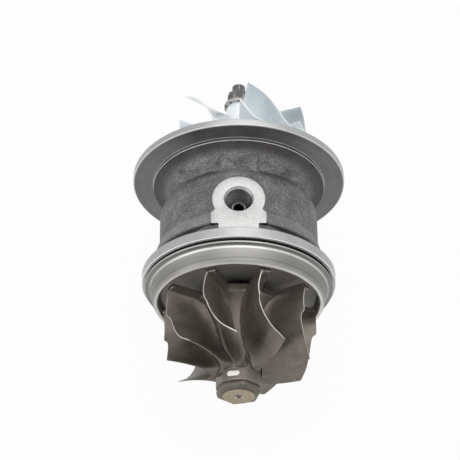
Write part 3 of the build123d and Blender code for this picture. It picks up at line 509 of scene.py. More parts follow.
# Tones with painted highlights and painted shade, from the rim down the outer wall by the distance along the sheet,
# and inside it by the radius
OUTER_TONES_WITH_PAINTED_LIGHT = [
    (1.6, 0.5), (2.4, 0.46), (2.8, 0.26), (4.4, 0.29), (5.0, 0.4), (5.7, 0.8), (6.2, 0.8), (6.8, 0.34), (9.0, 0.29),
    (11.9, 0.26), (12.3, 0.15), (12.8, 0.29), (14.8, 0.34), (16.2, 0.66), (17.4, 0.75),
]
INNER_TONES_WITH_PAINTED_LIGHT = [(36.8, 0.5), (38.0, 0.4), (38.8, 0.16), (39.25, 0.4), (39.7, 0.7)]


def shield_material():
    """Pressed stainless sheet, with painted highlights on its rim fold and on the lip and painted shade between, dull
    on the floor.
    """
    made, tree, shader = material("pressed_stainless", grey(0.3), 1.0, 0.4)
    place, _, y, _, radius = place_nodes(tree)
    blotches = noise_node(tree, place, 60.0, 5.0, 0.6)
    rings = tool_marks(tree, radius, y, 900.0)
    path = math_node(tree, "SUBTRACT", math_node(tree, "SUBTRACT", SHIELD_RIM * MM, radius), y)
    outer = stops_ramp(tree, path, OUTER_TONES_WITH_PAINTED_LIGHT)
    inner = stops_ramp(tree, radius, INNER_TONES_WITH_PAINTED_LIGHT)
    tone = mix_colours(tree, span(tree, radius, 39.5, 40.0), inner, outer)
    worn = mottle(tree, rings, blotches, 0.35, [(0.3, grey(0.72)), (0.7, grey(1.0))])
    put(tree, shader.inputs["Base Color"], mix_colours(tree, 1.0, tone, worn, "MULTIPLY"))
    add_shine(tree, shader, blotches, 0.36, 0.5, 0.75)
    metal = ramp(tree, span(tree, radius, 38.0, 39.5), [(0.2, grey(0.1)), (0.9, grey(1.0))])
    put(tree, shader.inputs["Metallic"], metal)
    add_bump(tree, shader, rings, 0.004)
    return made


def alloy_material():
    """Investment-cast nickel alloy: brown-grey, finely grained and a little darker near the hub."""
    made, tree, shader = material("turbine_alloy", (0.14, 0.125, 0.11), 0.62, 0.46)
    place, _, _, _, radius = place_nodes(tree)
    broad = noise_node(tree, place, 90.0, 5.0, 0.6)
    fine = noise_node(tree, place, 2400.0, 3.0, 0.7)
    skin = mottle(tree, fine, broad, 0.45, [(0.36, (0.14, 0.123, 0.104)), (0.64, (0.285, 0.255, 0.22))])
    deep = times(tree, span(tree, radius, 30.0, 13.0), 0.4)
    put(tree, shader.inputs["Base Color"], mix_colours(tree, deep, skin, (0.06, 0.053, 0.046)))
    add_shine(tree, shader, broad, 0.38, 0.5)
    add_bump(tree, shader, fine, 0.04)
    return made


def shaft_material():
    """Ground steel, with a darker rolled thread at the nut end."""
    made, tree, shader = material("shaft_steel", grey(0.3), 1.0, 0.3)
    place, _, y, _, radius = place_nodes(tree)
    stretched = add_node(tree, "Mapping", Vector=place, Scale=(1.0, 0.05, 1.0)).outputs[0]
    streaks = noise_node(tree, stretched, 1500.0, 2.0, 0.6)
    rings = tool_marks(tree, radius, y, TOOL_MARKS, 0.55)
    ground = ramp(tree, rings, [(0.35, grey(0.3)), (0.65, grey(0.42))])
    dark = ramp(tree, streaks, [(0.4, grey(0.05)), (0.6, grey(0.26))])
    put(tree, shader.inputs["Base Color"], mix_colours(tree, span(tree, y, 105.0, 106.0), ground, dark))
    add_bump(tree, shader, streaks, 0.05)
    return made


def plain_material(name, dark, light, metallic, roughness, scale=400.0, depth=0.01):
    """Small or smooth pieces: a fine mottle over broad blotches, and a fine surface."""
    made, tree, shader = material(name, light, metallic, roughness)
    place = object_point(tree)
    broad = noise_node(tree, place, scale / 4, 5.0, 0.6)
    fine = noise_node(tree, place, scale, 3.0, 0.7)
    put(tree, shader.inputs["Base Color"], mottle(tree, fine, broad, 0.6, [(0.36, dark), (0.64, light)]))
    add_shine(tree, shader, broad, roughness - 0.08, roughness + 0.1)
    add_bump(tree, shader, fine, depth)
    return made


CAST_IRON = housing_material()
# Painted shade: a dark copy of the turned finish for the disc's annulus and step, as a painted dark reflection
PAINTED_SHADE_DISC_FACE = turned_material("turned_disc_face_painted_shade", grey(0.125), grey(0.2), 0.44)
TURNED_RIM = turned_material("turned_rim", grey(0.34), grey(0.46), 0.38)
TURNED_RING = turned_material("turned_ring", (0.34, 0.343, 0.35), (0.47, 0.474, 0.482), 0.38)
# Painted highlight: a bright, nearly matt finish for the ring's front face and the disc's edges
PAINTED_HIGHLIGHT_EDGE = plain_material("painted_highlight_edge", grey(0.7), grey(0.82), 0.25, 0.36, 200.0)
# Painted highlight: a pale metal for the ring's front chamfer
PAINTED_HIGHLIGHT_ARRIS = plain_material("painted_highlight_arris", grey(0.82), grey(0.92), 1.0, 0.34, 200.0)
MILLED_PAD = plain_material("milled_pad", (0.55, 0.55, 0.54), (0.72, 0.72, 0.71), 0.4, 0.42, 1100.0, 0.012)
# Painted shade: the tapped thread inside the oil inlet is painted dark
THREAD_PAINTED_SHADE = turned_material("cut_thread_painted_shade", grey(0.05), grey(0.13), 0.3)
SHIELD = shield_material()
TURBINE = alloy_material()
# The blades' turned edges, made brighter as a painted highlight
TURBINE_EDGE_AND_HIGHLIGHT = plain_material("turbine_turned_edge_and_highlight", (0.36, 0.35, 0.33), (0.56, 0.55, 0.53), 1.0, 0.32, 120.0)
TURBINE_TIP = plain_material("turbine_turned_tip", (0.22, 0.21, 0.195), (0.34, 0.33, 0.31), 1.0, 0.36)
TURBINE_ARRIS = plain_material("turbine_arris", (0.16, 0.148, 0.13), (0.3, 0.28, 0.25), 0.8, 0.38)
END_FACE = plain_material("turbine_end_face", (0.30, 0.245, 0.16), (0.42, 0.35, 0.245), 0.8, 0.4, 900.0)
GROUND_SPOT = plain_material("ground_spot", (0.66, 0.64, 0.6), (0.76, 0.74, 0.7), 1.0, 0.34, 120.0, 0.0)
# Painted shade in the centre drilling, with painted glints from its high-contrast mottle
DRILLING_PAINTED_SHADE_AND_GLINTS = plain_material("centre_drilling_painted_shade_and_glints", grey(0.02), grey(0.9), 1.0, 0.25, 500.0)
ALUMINIUM = plain_material("milled_aluminium", (0.74, 0.785, 0.81), (0.84, 0.88, 0.9), 0.88, 0.33, 60.0, 0.0)
ALUMINIUM_EDGE = plain_material("milled_aluminium_edge", (0.86, 0.89, 0.9), (0.93, 0.95, 0.96), 0.6, 0.3, 60.0, 0.0)
DARK_STEEL = plain_material("dark_steel", grey(0.10), grey(0.17), 0.9, 0.34)
NUT_STEEL = plain_material("nut_flange_steel", (0.30, 0.29, 0.275), (0.42, 0.41, 0.39), 1.0, 0.34)
SHAFT_STEEL = shaft_material()
BRONZE = turned_material("bearing_bronze", (0.42, 0.25, 0.10), (0.58, 0.37, 0.16), 0.32)
RUBBER = plain_material("seal_rubber", grey(0.012), grey(0.03), 0.0, 0.55)


def paint(piece, *finishes):
    """Gives a piece its finishes, and keeps which face has which."""
    kept = [face.material_index for face in piece.data.polygons]
    piece.data.materials.clear()
    for item in finishes:
        piece.data.materials.append(item)
    if len(finishes) > 1:
        piece.data.polygons.foreach_set("material_index", kept)
    return piece


def paint_where(piece, finishes, choice):
    """Gives each face the finish that the choice returns for its centre and normal."""
    paint(piece, *finishes)
    for face in piece.data.polygons:
        face.material_index = finishes.index(choice(face.center / MM, face.normal))
    return piece


def finish_piece(piece, body, slot, *nodes):
    """Attaches a new piece to its body, and hides the solid model's nodes that it replaces. The slot is not used."""
    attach(piece, body)
    if nodes:
        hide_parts(*nodes)
    return piece


# Housing: the cast skin between the ring and the disc
CAST_PROFILE = [
    (46.9, 5.25), (43.0, 5.3), (39.9, 5.6), (38.4, 6.6), (37.75, 8.4), (37.8, 10.3), (38.7, 11.4), (41.3, 11.65),
    (42.1, 12.2), (42.15, 12.8), (41.4, 15.6), (40.55, 18.5), (40.35, 19.05), (39.8, 19.35), (39.62, 20.0),
    (39.6, 24.0), (39.6, 30.0), (39.6, 36.0), (39.4, 39.6), (38.6, 41.8), (37.1, 43.5), (35.6, 44.6), (34.95, 46.2),
    (34.8, 49.5), (34.95, 52.2), (36.0, 54.6), (38.3, 56.4), (40.9, 57.0), (43.6, 57.15),
]
SKIN_COLUMNS = 420
SKIN_ROWS = 190
SKIN_INNER = 30.5
SKIN_CALM_ROWS = 8
NECK_START = 44
# Where the pad and the drain can lift the skin: half width, and the end towards the disc
PAD_LIFT = (30, 56)
DRAIN_LIFT = (26, 50)
DRAIN_FLANK_TOP = 43.5
RIDGE_HEIGHT = 40.3
RIDGE_FALL_START = 36.0
RIDGE_HALF_WIDTH = 11.0
# The groove is shallower on the pad's side, from the middle outwards
FILL_RADIUS = 42.2
FILL_HALF_WIDTH = 13.0
FILL_SLOPE = 0.32
FILL_START = 6.2
FILL_END = 11.5
# The pad between its circle and the ring: half width, low end and high end of each block
PAD_BLOCKS = ((11.5, 16.9, 24.5), (13.2, 10.7, 16.9), (9.6, 3.0, 10.7))


def keyhole_distance(x, y):
    """How far a point lies outside the oil pad's outline, seen from above."""
    x = abs(x)
    best = hypot(x, y - INLET_Y) - PAD_RADIUS
    for half_width, low, high in PAD_BLOCKS:
        dx, dy = x - half_width, abs(y - (low + high) / 2) - (high - low) / 2
        outside = hypot(max(dx, 0), max(dy, 0))
        best = min(best, outside if outside > 0 else max(dx, dy))
    return best


def flank(away, top, drop, steep, slope):
    """Height of a cast flank that falls quickly by a drop, and then at a slope."""
    return top - drop * (1 - exp(-away / steep)) - slope * away


def lift_round_pad(place):
    """Height of the cast flank round the oil pad, and of the ridge behind it."""
    distance = keyhole_distance(place.x, place.y)
    inside = min(distance, 0)
    behind = place.y > INLET_Y
    side = flank(max(distance, 0), PAD_HEIGHT - 0.45, 6.0, 2.6 if behind else 3.2, 0.45)
    height = smooth_max(place.z, side + max(inside, -2.0) * 0.4, 2.0)
    if behind:
        fall = 0.4 * max(place.y - RIDGE_FALL_START, 0)
        ridge = RIDGE_HEIGHT - fall - 2.4 * (place.x / RIDGE_HALF_WIDTH) ** 2
        height = smooth_max(height, ridge, 5.0)
    return min(height, PAD_HEIGHT - 0.4) if inside < -0.3 else height


def lift_round_drain(place):
    """Depth of the cast flank round the drain's neck."""
    away = max(hypot(place.x, place.y - DRAIN_Y) - DRAIN_NECK, 0)
    return smooth_max(-place.z, flank(away, DRAIN_FLANK_TOP, 7.0, 2.6, 0.6), 2.0)


def groove_filled(radius, angle, y):
    """A point of the profile at an angle, with the groove filled a little on the pad's side."""
    place = polar(radius, angle, y)
    if place.z > 0 and FILL_START < y < BAND_START:
        filled = FILL_RADIUS - FILL_SLOPE * max(abs(place.x) - FILL_HALF_WIDTH, 0)
        if radius < filled:
            share = min((y - FILL_START) / 0.5, 1) * min((FILL_END - y) / 0.8, 1)
            return polar(radius + (filled - radius) * share, angle, y)
    return place


def unevenness(place, y):
    """How far the cast skin stands out at a point. The neck is rougher."""
    rough = noise.fractal(place * 0.55, 0.7, 2.0, 4) * 0.09 + noise.noise(place * 0.11) * 0.16
    if y > NECK_START:
        rough += noise.fractal(place * 1.1, 0.8, 2.0, 3) * 0.09
    return rough


def cast_skin():
    """The as-cast surface, lifted round the oil pad and the drain and left slightly uneven."""
    points, faces = [], []
    angles = [360 * column / SKIN_COLUMNS for column in range(SKIN_COLUMNS)]
    for row in range(SKIN_ROWS + 1):
        radius, y = along(CAST_PROFILE, row / SKIN_ROWS)
        calm = min(min(row, SKIN_ROWS - row) / SKIN_CALM_ROWS, 1.0)
        for angle in angles:
            place = groove_filled(radius, angle, y)
            if abs(place.x) < PAD_BLOCKS[-1][0] + 0.1 and y < BAND_START:
                place.z = min(place.z, PAD_HEIGHT - 0.8)
            if place.z > 0 and abs(place.x) < PAD_LIFT[0] and BAND_START - 0.4 < y < PAD_LIFT[1]:
                place.z = lift_round_pad(place)
            if place.z < 0 and abs(place.x) < DRAIN_LIFT[0] and BAND_START + 1.0 < y < DRAIN_LIFT[1]:
                place.z = -lift_round_drain(place)
            rough = unevenness(place, y)
            place += Vector((place.x, 0, place.z)).normalized() * rough * calm
            points.append(place)
    for end in (CAST_PROFILE[-1][1] + 0.6, CAST_PROFILE[0][1] - 0.6):
        points += [polar(SKIN_INNER, angle, end) for angle in angles]
    rings = SKIN_ROWS + 3
    for row in range(rings):
        here, after = row * SKIN_COLUMNS, (row + 1) % rings * SKIN_COLUMNS
        for column in range(SKIN_COLUMNS):
            right = (column + 1) % SKIN_COLUMNS
            faces.append((here + column, here + right, after + right, after + column))
    return mesh_piece("housing_casting", points, faces, 60)


def upright_plug(radius, y, low, high):
    """A round cutter that stands along Z."""
    deselect()
    bpy.ops.mesh.primitive_cylinder_add(
        vertices=96, radius=radius * MM, depth=(high - low) * MM, location=(0, y * MM, (low + high) / 2 * MM)
    )
    return bpy.context.object


def housing_casting():
    """The cast skin, with clear holes for the oil inlet and the drain."""
    casting = cast_skin()
    cut_away(casting, upright_plug(INLET_RADIUS + 0.15, INLET_Y, 20, 50))
    cut_away(casting, upright_plug(DRAIN_RADIUS + 0.2, DRAIN_Y, -60, -20))
    paint(casting, CAST_IRON)
    return finish_piece(casting, "housing", "cast_iron")


# The pad's round end: start and sweep in degrees, and steps
PAD_ARC = (-26, 232, 40)
PAD_SHOULDER = 18.3
INLET_STEPS = 72


def inlet_arc(radius, start, sweep, steps):
    """Points on a circle round the oil inlet, seen from above."""
    angles = [radians(start + sweep * step / steps) for step in range(steps + 1)]
    return [(radius * cos(angle), INLET_Y + radius * sin(angle)) for angle in angles]


def pad_shape():
    """The keyhole outline of the pad, from its circle round to the ring."""
    (shoulder, _, _), (wide, low, high), (tongue, front, _) = PAD_BLOCKS
    side = [(-shoulder, PAD_SHOULDER), (-wide, high), (-wide, low), (-tongue, low), (-tongue, front)]
    return inlet_arc(PAD_RADIUS, *PAD_ARC) + side + [(-x, y) for x, y in reversed(side)]


def oil_pad():
    """The milled pad: its outline with the hole is filled, pushed down and its edge broken."""
    shape, hole = pad_shape(), inlet_arc(INLET_RADIUS, 0, 360, INLET_STEPS)[:-1]
    edges = []
    for first, count in ((0, len(shape)), (len(shape), len(hole))):
        edges += [(first + i, first + (i + 1) % count) for i in range(count)]
    piece = new_piece("oil_pad", [(x, y, PAD_HEIGHT + SKIN) for x, y in shape + hole], edges, [])
    edit_all()
    bpy.ops.mesh.fill(use_beauty=True)
    bpy.ops.mesh.select_all(action="SELECT")
    bpy.ops.mesh.extrude_region_move(TRANSFORM_OT_translate={"value": (0, 0, -PAD_THICKNESS * MM)})
    tidy_mesh()
    add_bevel(piece, 0.2, 2, 50)
    smooth(40)
    paint_where(piece, (MILLED_PAD, CAST_IRON), lambda at, normal: MILLED_PAD if normal.z > 0.5 else CAST_IRON)
    return finish_piece(piece, "housing", "cast_iron")


def inlet_thread():
    """The tapped oil inlet: a broken mouth, the thread, and on its floor the ring round the feed hole."""
    top, bottom = PAD_HEIGHT + SKIN, PAD_HEIGHT - INLET_DEPTH
    outer, crest, ring_top = INLET_RADIUS + 0.1, TAP_RADIUS - THREAD_DEPTH, bottom + FEED_RING_HEIGHT
    profile = [(outer, top - 0.03), (INLET_RADIUS - 0.05, top - 0.08), (TAP_RADIUS, top - 0.95)]
    z = top - 1.2
    while z > bottom + THREAD_PITCH:
        after = z - THREAD_PITCH
        profile += [(crest, z - 0.25), (crest, z - 0.45), (TAP_RADIUS, after + 0.15), (TAP_RADIUS, after)]
        z = after
    profile += [
        (TAP_RADIUS, bottom + 0.6), (FEED_RING + 0.6, bottom), (FEED_RING, bottom), (FEED_RING, ring_top - 0.3),
        (FEED_RING - 0.3, ring_top), (FEED_RADIUS + 0.5, ring_top), (FEED_RADIUS, ring_top - 0.6),
        (FEED_RADIUS, bottom - 5.0), (TAP_RADIUS, bottom - 5.0), (outer, bottom),
    ]
    piece = turned("oil_inlet_thread", profile, 96, centre=INLET_Y, smooth_angle=30)

    def choice(at, normal):
        # The thread is painted dark as shade in the hole
        on_ring = hypot(at.x, at.y - INLET_Y) < FEED_RING and at.z > ring_top - 0.7 and normal.z > 0.3
        return TURNED_RIM if at.z > top - 1.0 or on_ring else THREAD_PAINTED_SHADE

    paint_where(piece, (THREAD_PAINTED_SHADE, TURNED_RIM), choice)
    return finish_piece(piece, "housing", "cast_iron")


def housing_ring():
    """The machined ring at the turbine end, with the shield's seat in painted shadow and painted highlights on its
    front face and edge.
    """
    outer, back = RING_RADIUS + SKIN, RING_WIDTH + SKIN
    profile = [
        (SEAT_INNER, SEAT_DEPTH), (SEAT_INNER, -SEAT_HEIGHT), (SEAT_OUTER - 0.1, -SEAT_HEIGHT),
        (SEAT_OUTER, -SEAT_STEP), (SEAT_STEP_OUTER + SKIN, -SEAT_STEP), (SEAT_STEP_OUTER + 0.05, 0.0),
        (SEAT_STEP_OUTER + 0.2, -SKIN), (RING_FACE_INNER, -SKIN), (outer - RING_EDGE, -SKIN),
        (outer, RING_EDGE - SKIN), (outer, back - RING_BACK_EDGE), (outer - RING_BACK_EDGE, back),
        (SEAT_OUTER, back), (SEAT_OUTER, SEAT_DEPTH),
    ]
    piece = turned("housing_ring", profile, 288, smooth_angle=40)

    def choice(at, normal):
        # The seat takes the cast iron, painted near black there as shadow; the front face and chamfer get painted
        # highlights
        if hypot(at.x, at.z) < RING_FACE_INNER and at.y < SEAT_DEPTH + 0.1:
            return CAST_IRON
        if at.y < RING_EDGE - SKIN:
            return PAINTED_HIGHLIGHT_ARRIS if normal.y > -0.95 else PAINTED_HIGHLIGHT_EDGE
        return TURNED_RING

    paint_where(piece, (TURNED_RING, PAINTED_HIGHLIGHT_EDGE, CAST_IRON, PAINTED_HIGHLIGHT_ARRIS), choice)
    return finish_piece(piece, "housing", "cast_iron")


def housing_disc():
    """The compressor-side disc: its turned annulus and step painted dark as shade, painted highlights on their edges
    and the rim's chamfer, and a turned rim.
    """
    outer, face, front = DISC_RADIUS + SKIN, MACHINED_FACE - SKIN, DISC_FRONT + SKIN
    step = WEB_RADIUS + 0.08
    profile = [
        (DISC_INNER, DISC_FOOT), (WEB_RADIUS - 0.15, DISC_FOOT), (step, DISC_FOOT + 0.25), (step, face - 0.12),
        (WEB_RADIUS + 0.25, face), (outer - 0.6, face), (outer - 0.12, face + 0.2), (outer, face + 0.6),
        (outer, front - 0.5), (outer - 0.5, front), (DISC_INNER, front),
    ]
    piece = turned("housing_disc", profile, 288, smooth_angle=40)

    def choice(at, normal):
        # Painted shade on the annulus and the step, painted highlights on their edges and chamfers
        if hypot(at.x, at.z) < WEB_RADIUS + 0.2:
            return PAINTED_SHADE_DISC_FACE if DISC_FOOT + 0.3 < at.y < face - 0.15 else PAINTED_HIGHLIGHT_EDGE
        if normal.y < -0.95:
            return PAINTED_SHADE_DISC_FACE
        return PAINTED_HIGHLIGHT_EDGE if normal.y < -0.2 else TURNED_RIM

    paint_where(piece, (PAINTED_SHADE_DISC_FACE, TURNED_RIM, PAINTED_HIGHLIGHT_EDGE), choice)
    return finish_piece(piece, "housing", "cast_iron")


# Heat shield: one pressed sheet, spun from its section
SHIELD_FRONT = [
    (46.3, -1.55), (46.32, -2.0), (46.15, -2.25), (45.9, -2.33), (44.3, -2.38), (43.95, -2.5), (43.75, -2.75),
    (43.6, -3.15), (43.3, -4.4), (43.0, -5.6), (42.7, -6.9), (42.4, -8.1), (42.05, -9.2), (41.6, -10.1),
    (41.1, -10.7), (40.5, -10.95), (39.9, -10.8), (39.4, -10.3), (39.1, -9.5), (38.95, -8.4), (38.8, -7.0),
    (38.6, -6.0), (38.2, -5.3), (37.6, -4.98), (36.8, -4.92), (30.0, -4.9), (22.0, -4.9), (15.2, -4.9), (14.8, -4.6),
]
SHIELD_BACK = [
    (14.8, -4.1), (15.2, -4.0), (36.6, -4.05), (38.3, -4.2), (39.1, -4.7), (39.6, -5.6), (39.85, -7.0), (40.0, -8.4),
    (40.2, -9.4), (40.5, -9.85), (40.9, -9.6), (41.3, -8.6), (41.7, -7.4), (42.0, -6.1), (42.3, -4.8), (42.6, -3.6),
    (42.8, -2.6), (43.1, -1.8), (43.6, -1.44), (45.9, -1.42),
]
SHIELD_TILT = 0.28


def heat_shield():
    """The pressed dish, tilted a little on its seat."""
    piece = turned("heat_shield_dish", SHIELD_FRONT + SHIELD_BACK, 240, smooth_angle=50)
    edit_all()
    bpy.ops.transform.rotate(value=radians(SHIELD_TILT), orient_axis="Z", center_override=(0, 0, 0))
    bpy.ops.object.mode_set(mode="OBJECT")
    paint(piece, SHIELD)
    return finish_piece(piece, "housing", "pressed_stainless", "heat_shield")


# Turbine wheel
def web_reach(angle):
    """How far the back web reaches at an angle from the middle of a scallop."""
    turn = radians(min(abs(angle), 25))
    half_width, at = SCALLOP_SIDE
    slope = SCALLOP_SLOPES[angle > 0]
    steep = slope * cos(turn) - sin(turn)
    side = (slope * at - half_width) / steep if steep > 0.08 else 99.0
    return min(smooth_max(SCALLOP_BOTTOM / cos(turn), side, 1.6), TURBINE_RADIUS - 0.1)


def web_angles():
    """Angles round one scallop, closer together where its sides are steep."""
    half_step = 180 / TURBINE_BLADES
    marks = [0, 3, 6, 7.5] + [8.5 + 0.35 * step for step in range(25)] + [17.6, 18.6]
    return [-half_step] + [-m for m in reversed(marks[1:])] + marks


HUB_ROWS = 44
HUB_SEARCH = 200
ARRIS = 0.38
HUB_FINISHES = (TURBINE, TURBINE_TIP, TURBINE_ARRIS, GROUND_SPOT)
WEB_BACK = [(13.1, 7.1), (9.1, 5.6), (9.1, 4.05), (ON_AXIS, 4.05)]


def hub_column(angle, reach):
    """One closed line of the hub, from the nose over the web's edge to the shaft: (point, finish)."""
    line = [
        (ON_AXIS, TURBINE_END - 0.9, TURBINE), (NOSE_RADIUS - 0.6, NOSE_END, TURBINE),
        (NOSE_RADIUS - 0.1, NOSE_END - 0.25, TURBINE_ARRIS), (NOSE_RADIUS, NOSE_END - 0.55, TURBINE),
    ]
    edge = reach - ARRIS
    shares = (step / HUB_SEARCH for step in range(HUB_SEARCH + 1))
    begin = next(share for share in shares if along(TURBINE_HUB, share)[0] <= edge)
    for row in range(HUB_ROWS):
        radius, y = along(TURBINE_HUB, 1 - (1 - begin) * row / HUB_ROWS)
        line.append((min(radius, edge), y, TURBINE))
    front = interpolate(TURBINE_HUB, edge)
    rim = TURBINE_TIP if reach > TURBINE_RADIUS - 0.3 else TURBINE
    back = TURBINE_BACK + 0.6 * min((TURBINE_RADIUS - reach) / 16, 1)
    line += [
        (edge, front, TURBINE_ARRIS), (reach, front - ARRIS, rim), (reach, back + 0.25, TURBINE),
        (reach - 0.25, back, TURBINE), (17.0, back - 0.4, TURBINE),
    ]
    line += [(radius, y, TURBINE) for radius, y in WEB_BACK]
    return [(polar(radius, angle, -y), finish) for radius, y, finish in line]


def turbine_hub():
    """Hub and scalloped back web of the turbine wheel."""
    columns = []
    for index in range(TURBINE_BLADES):
        middle = TURBINE_FIRST + (index + 0.5) * 360 / TURBINE_BLADES
        columns += [hub_column(middle + angle, web_reach(angle)) for angle in web_angles()]
    rows = len(columns[0])
    points = [point for column in columns for point, _ in column]
    faces, finishes = [], []
    for index, column in enumerate(columns):
        here, right = index * rows, (index + 1) % len(columns) * rows
        for row in range(rows - 1):
            faces.append((here + row, here + row + 1, right + row + 1, right + row))
            finishes.append(HUB_FINISHES.index(column[row][1]))
    return mesh_piece("turbine_hub", points, faces, 28, finishes)


# Balancing cuts in the nose: angle, y, width, reach to the left, reach to the right, finish
BALANCE_CUTS = ((-12.3, -52.2, 3.0, 3.3, 2.7, GROUND_SPOT), (-60.0, -52.9, 4.4, 7.0, 7.0, TURBINE_ARRIS))
CUTS_LIE_BETWEEN = (-55.5, -50)


def ground_cut(angle, y, width, left, right):
    """The bar for a flat balancing cut: round-ended, and laid into the nose."""
    deselect()
    bpy.ops.mesh.primitive_cylinder_add(vertices=32, radius=width / 2 * MM, depth=CUTTER_LENGTH * MM)
    bar = bpy.context.object
    for vertex in bar.data.vertices:
        vertex.co.x += (right - width / 2 if vertex.co.x > 0 else width / 2 - left) * MM
    bar.location = polar(NOSE_RADIUS - CUT_DEPTH + CUTTER_LENGTH / 2, angle, y) * MM
    bar.rotation_euler = (0, radians(angle), 0)
    bpy.ops.object.transform_apply(location=True, rotation=True, scale=True)
    return bar


def turbine_boss():
    """The six-cornered cast boss past the nose, with its turned end face and centre drilling."""
    boss = shaft_cylinder(6, BOSS_CORNER, BOSS_LENGTH, BOSS_MIDDLE)
    for vertex in boss.data.vertices:
        corner = round(degrees(atan2(vertex.co.x, vertex.co.z)) / 60)
        vertex.co = polar(BOSS_CORNER, corner * 60 + BOSS_TURN, vertex.co.y / MM) * MM
    tidy_mesh()
    add_bevel(boss, BOSS_BEVEL, 4, 40)
    smooth(40)
    paint(boss, TURBINE)
    end = -TURBINE_END
    profile = [
        (ON_AXIS, end + 4.2), (1.25, end + 2.6), (1.3, end + 0.9), (1.95, end + 0.02), (2.05, end), (7.7, end),
        (8.0, end + 0.3), (8.05, end + 5.5), (ON_AXIS, end + 5.5),
    ]
    face = turned("end", profile, 96, smooth_angle=30)

    def choice(at, normal):
        # The centre drilling gets painted shade and painted glints
        if hypot(at.x, at.z) < DRILLING_RADIUS:
            return DRILLING_PAINTED_SHADE_AND_GLINTS
        return END_FACE if normal.y < -0.95 else TURBINE

    paint_where(face, (END_FACE, DRILLING_PAINTED_SHADE_AND_GLINTS, TURBINE), choice)
    return join_pieces([boss, face], "turbine_boss")


CURVE_SAMPLES = 80
# A blade's fillet at the hub is thinner further out
FLARE_FADE_START = 18
FLARE_FADE_LENGTH = 14
FLARE_FADE = 0.8


def curve_samples(points):
    return [along(points, step / CURVE_SAMPLES) for step in range(CURVE_SAMPLES + 1)]


def blade_mesh(name, wrap, first, hub, shroud, surface, thickness, flare, rows=64, columns=30):
    """One blade: a curved sheet between the hub line and the shroud line.

    It thickens into a fillet near the hub's surface. Its outer edge has the second finish.
    """
    half_root, half_tip = thickness

    def middle(u, v):
        hub_r, hub_y = along(hub, u)
        tip_r, tip_y = along(shroud, u)
        radius = hub_r + (tip_r - hub_r) * v
        y = hub_y + (tip_y - hub_y) * v
        return polar(radius, first + interpolate(wrap, abs(y)), y), radius, y

    shares = [(v / columns) ** 1.35 for v in range(columns + 1)]
    sides = ([], [])
    for row in range(rows + 1):
        u = row / rows
        for v in shares:
            here, radius, y = middle(u, v)
            du = middle(min(u + 0.004, 1), v)[0] - middle(max(u - 0.004, 0), v)[0]
            dv = middle(u, min(v + 0.01, 1))[0] - middle(u, max(v - 0.01, 0))[0]
            normal = du.cross(dv).normalized()
            off = min(hypot(radius - r, y - h) for r, h in surface)
            fade = min(max((radius - FLARE_FADE_START) / FLARE_FADE_LENGTH, 0), 1)
            spread = flare * (1 - FLARE_FADE * fade)
            half = half_root + (half_tip - half_root) * v**0.7 + spread * exp(-off / spread)
            half *= min(1.0, sqrt(max((1 - u) * rows / 2.5, 0.0)) * 0.6 + 0.4)
            sides[0].append(here + normal * half)
            sides[1].append(here - normal * half)
    width, count = len(shares), len(sides[0])
    faces, finishes = [], []

    def wall(a, b):
        """A face between the two sides, along one edge."""
        return (a, b, count + b, count + a)

    for row in range(rows):
        root = row * width
        tip = root + width - 1
        for a in range(root, tip):
            quad = (a, a + 1, a + width + 1, a + width)
            faces += [quad, tuple(count + i for i in reversed(quad))]
            finishes += [0, 0]
        faces += [wall(tip, tip + width), wall(root, root + width)]
        finishes += [1, 0]
    for column in range(width - 1):
        end = rows * width + column
        faces += [wall(column, column + 1), wall(end, end + 1)]
        finishes += [0, 0]
    return mesh_piece(name, sides[0] + sides[1], faces, 50, finishes)


TURBINE_BLADE_HUB = [(19.0, -10.6), (18.6, -16.0), (15.0, -24.0), (12.8, -32.0), (11.6, -41.0), (11.1, -49.5)]
TURBINE_BLADE_SHROUD = [
    (37.8, -10.6), (37.8, -13.5), (37.8, -17.0), (37.8, -20.5), (37.8, -24.3), (37.3, -25.1), (36.2, -25.9),
    (35.6, -27.2), (35.2, -29.5), (34.8, -34.0), (34.5, -38.0), (34.3, -43.1),
]


def turbine_wheel():
    """Hub, boss and blades of the turbine wheel, with the balancing cuts in its nose."""
    hub = turbine_hub()
    for *cut, _ in BALANCE_CUTS:
        cut_away(hub, ground_cut(*cut))
    paint(hub, *HUB_FINISHES)
    for face in hub.data.polygons:
        at = face.center / MM
        for angle, *_, finish in BALANCE_CUTS:
            out = polar(1, angle, 0)
            on_floor = abs(at.dot(out) - NOSE_RADIUS + CUT_DEPTH) < 0.06
            if on_floor and face.normal.dot(out) > 0.999 and CUTS_LIE_BETWEEN[0] < at.y < CUTS_LIE_BETWEEN[1]:
                face.material_index = HUB_FINISHES.index(finish)
    boss = turbine_boss()
    surface = [(radius, -y) for radius, y in curve_samples(TURBINE_HUB)]
    blade = blade_mesh(
        "turbine_blade", TURBINE_WRAP, TURBINE_FIRST, TURBINE_BLADE_HUB, TURBINE_BLADE_SHROUD, surface,
        thickness=(0.8, 0.27), flare=2.7,
    )
    paint(blade, TURBINE, TURBINE_EDGE_AND_HIGHLIGHT)
    for piece in (hub, boss, copies_round(blade, TURBINE_BLADES, "turbine_blades")):
        finish_piece(piece, "rotor", "turbine_alloy", "turbine_wheel")


# Compressor wheel
def compressor_hub():
    """The compressor wheel's hub and back plate, with the bore for the shaft."""
    back = COMPRESSOR_BACK
    profile = [along(COMPRESSOR_HUB, step / 60) for step in range(61)]
    profile += [(COMPRESSOR_BORE, NUT_START), (COMPRESSOR_BORE, back), (43.7, back), (44.0, back + 0.3)]
    piece = paint(turned("compressor_hub", profile, 180), ALUMINIUM)
    return finish_piece(piece, "rotor", "wheel_aluminium", "compressor_wheel")


def line_to(points, height):
    """The part of a (radius, y) line below a height, ended there."""
    end = interpolate([(y, radius) for radius, y in points], height)
    return [(radius, y) for radius, y in points if y < height - 2] + [(end, height)]


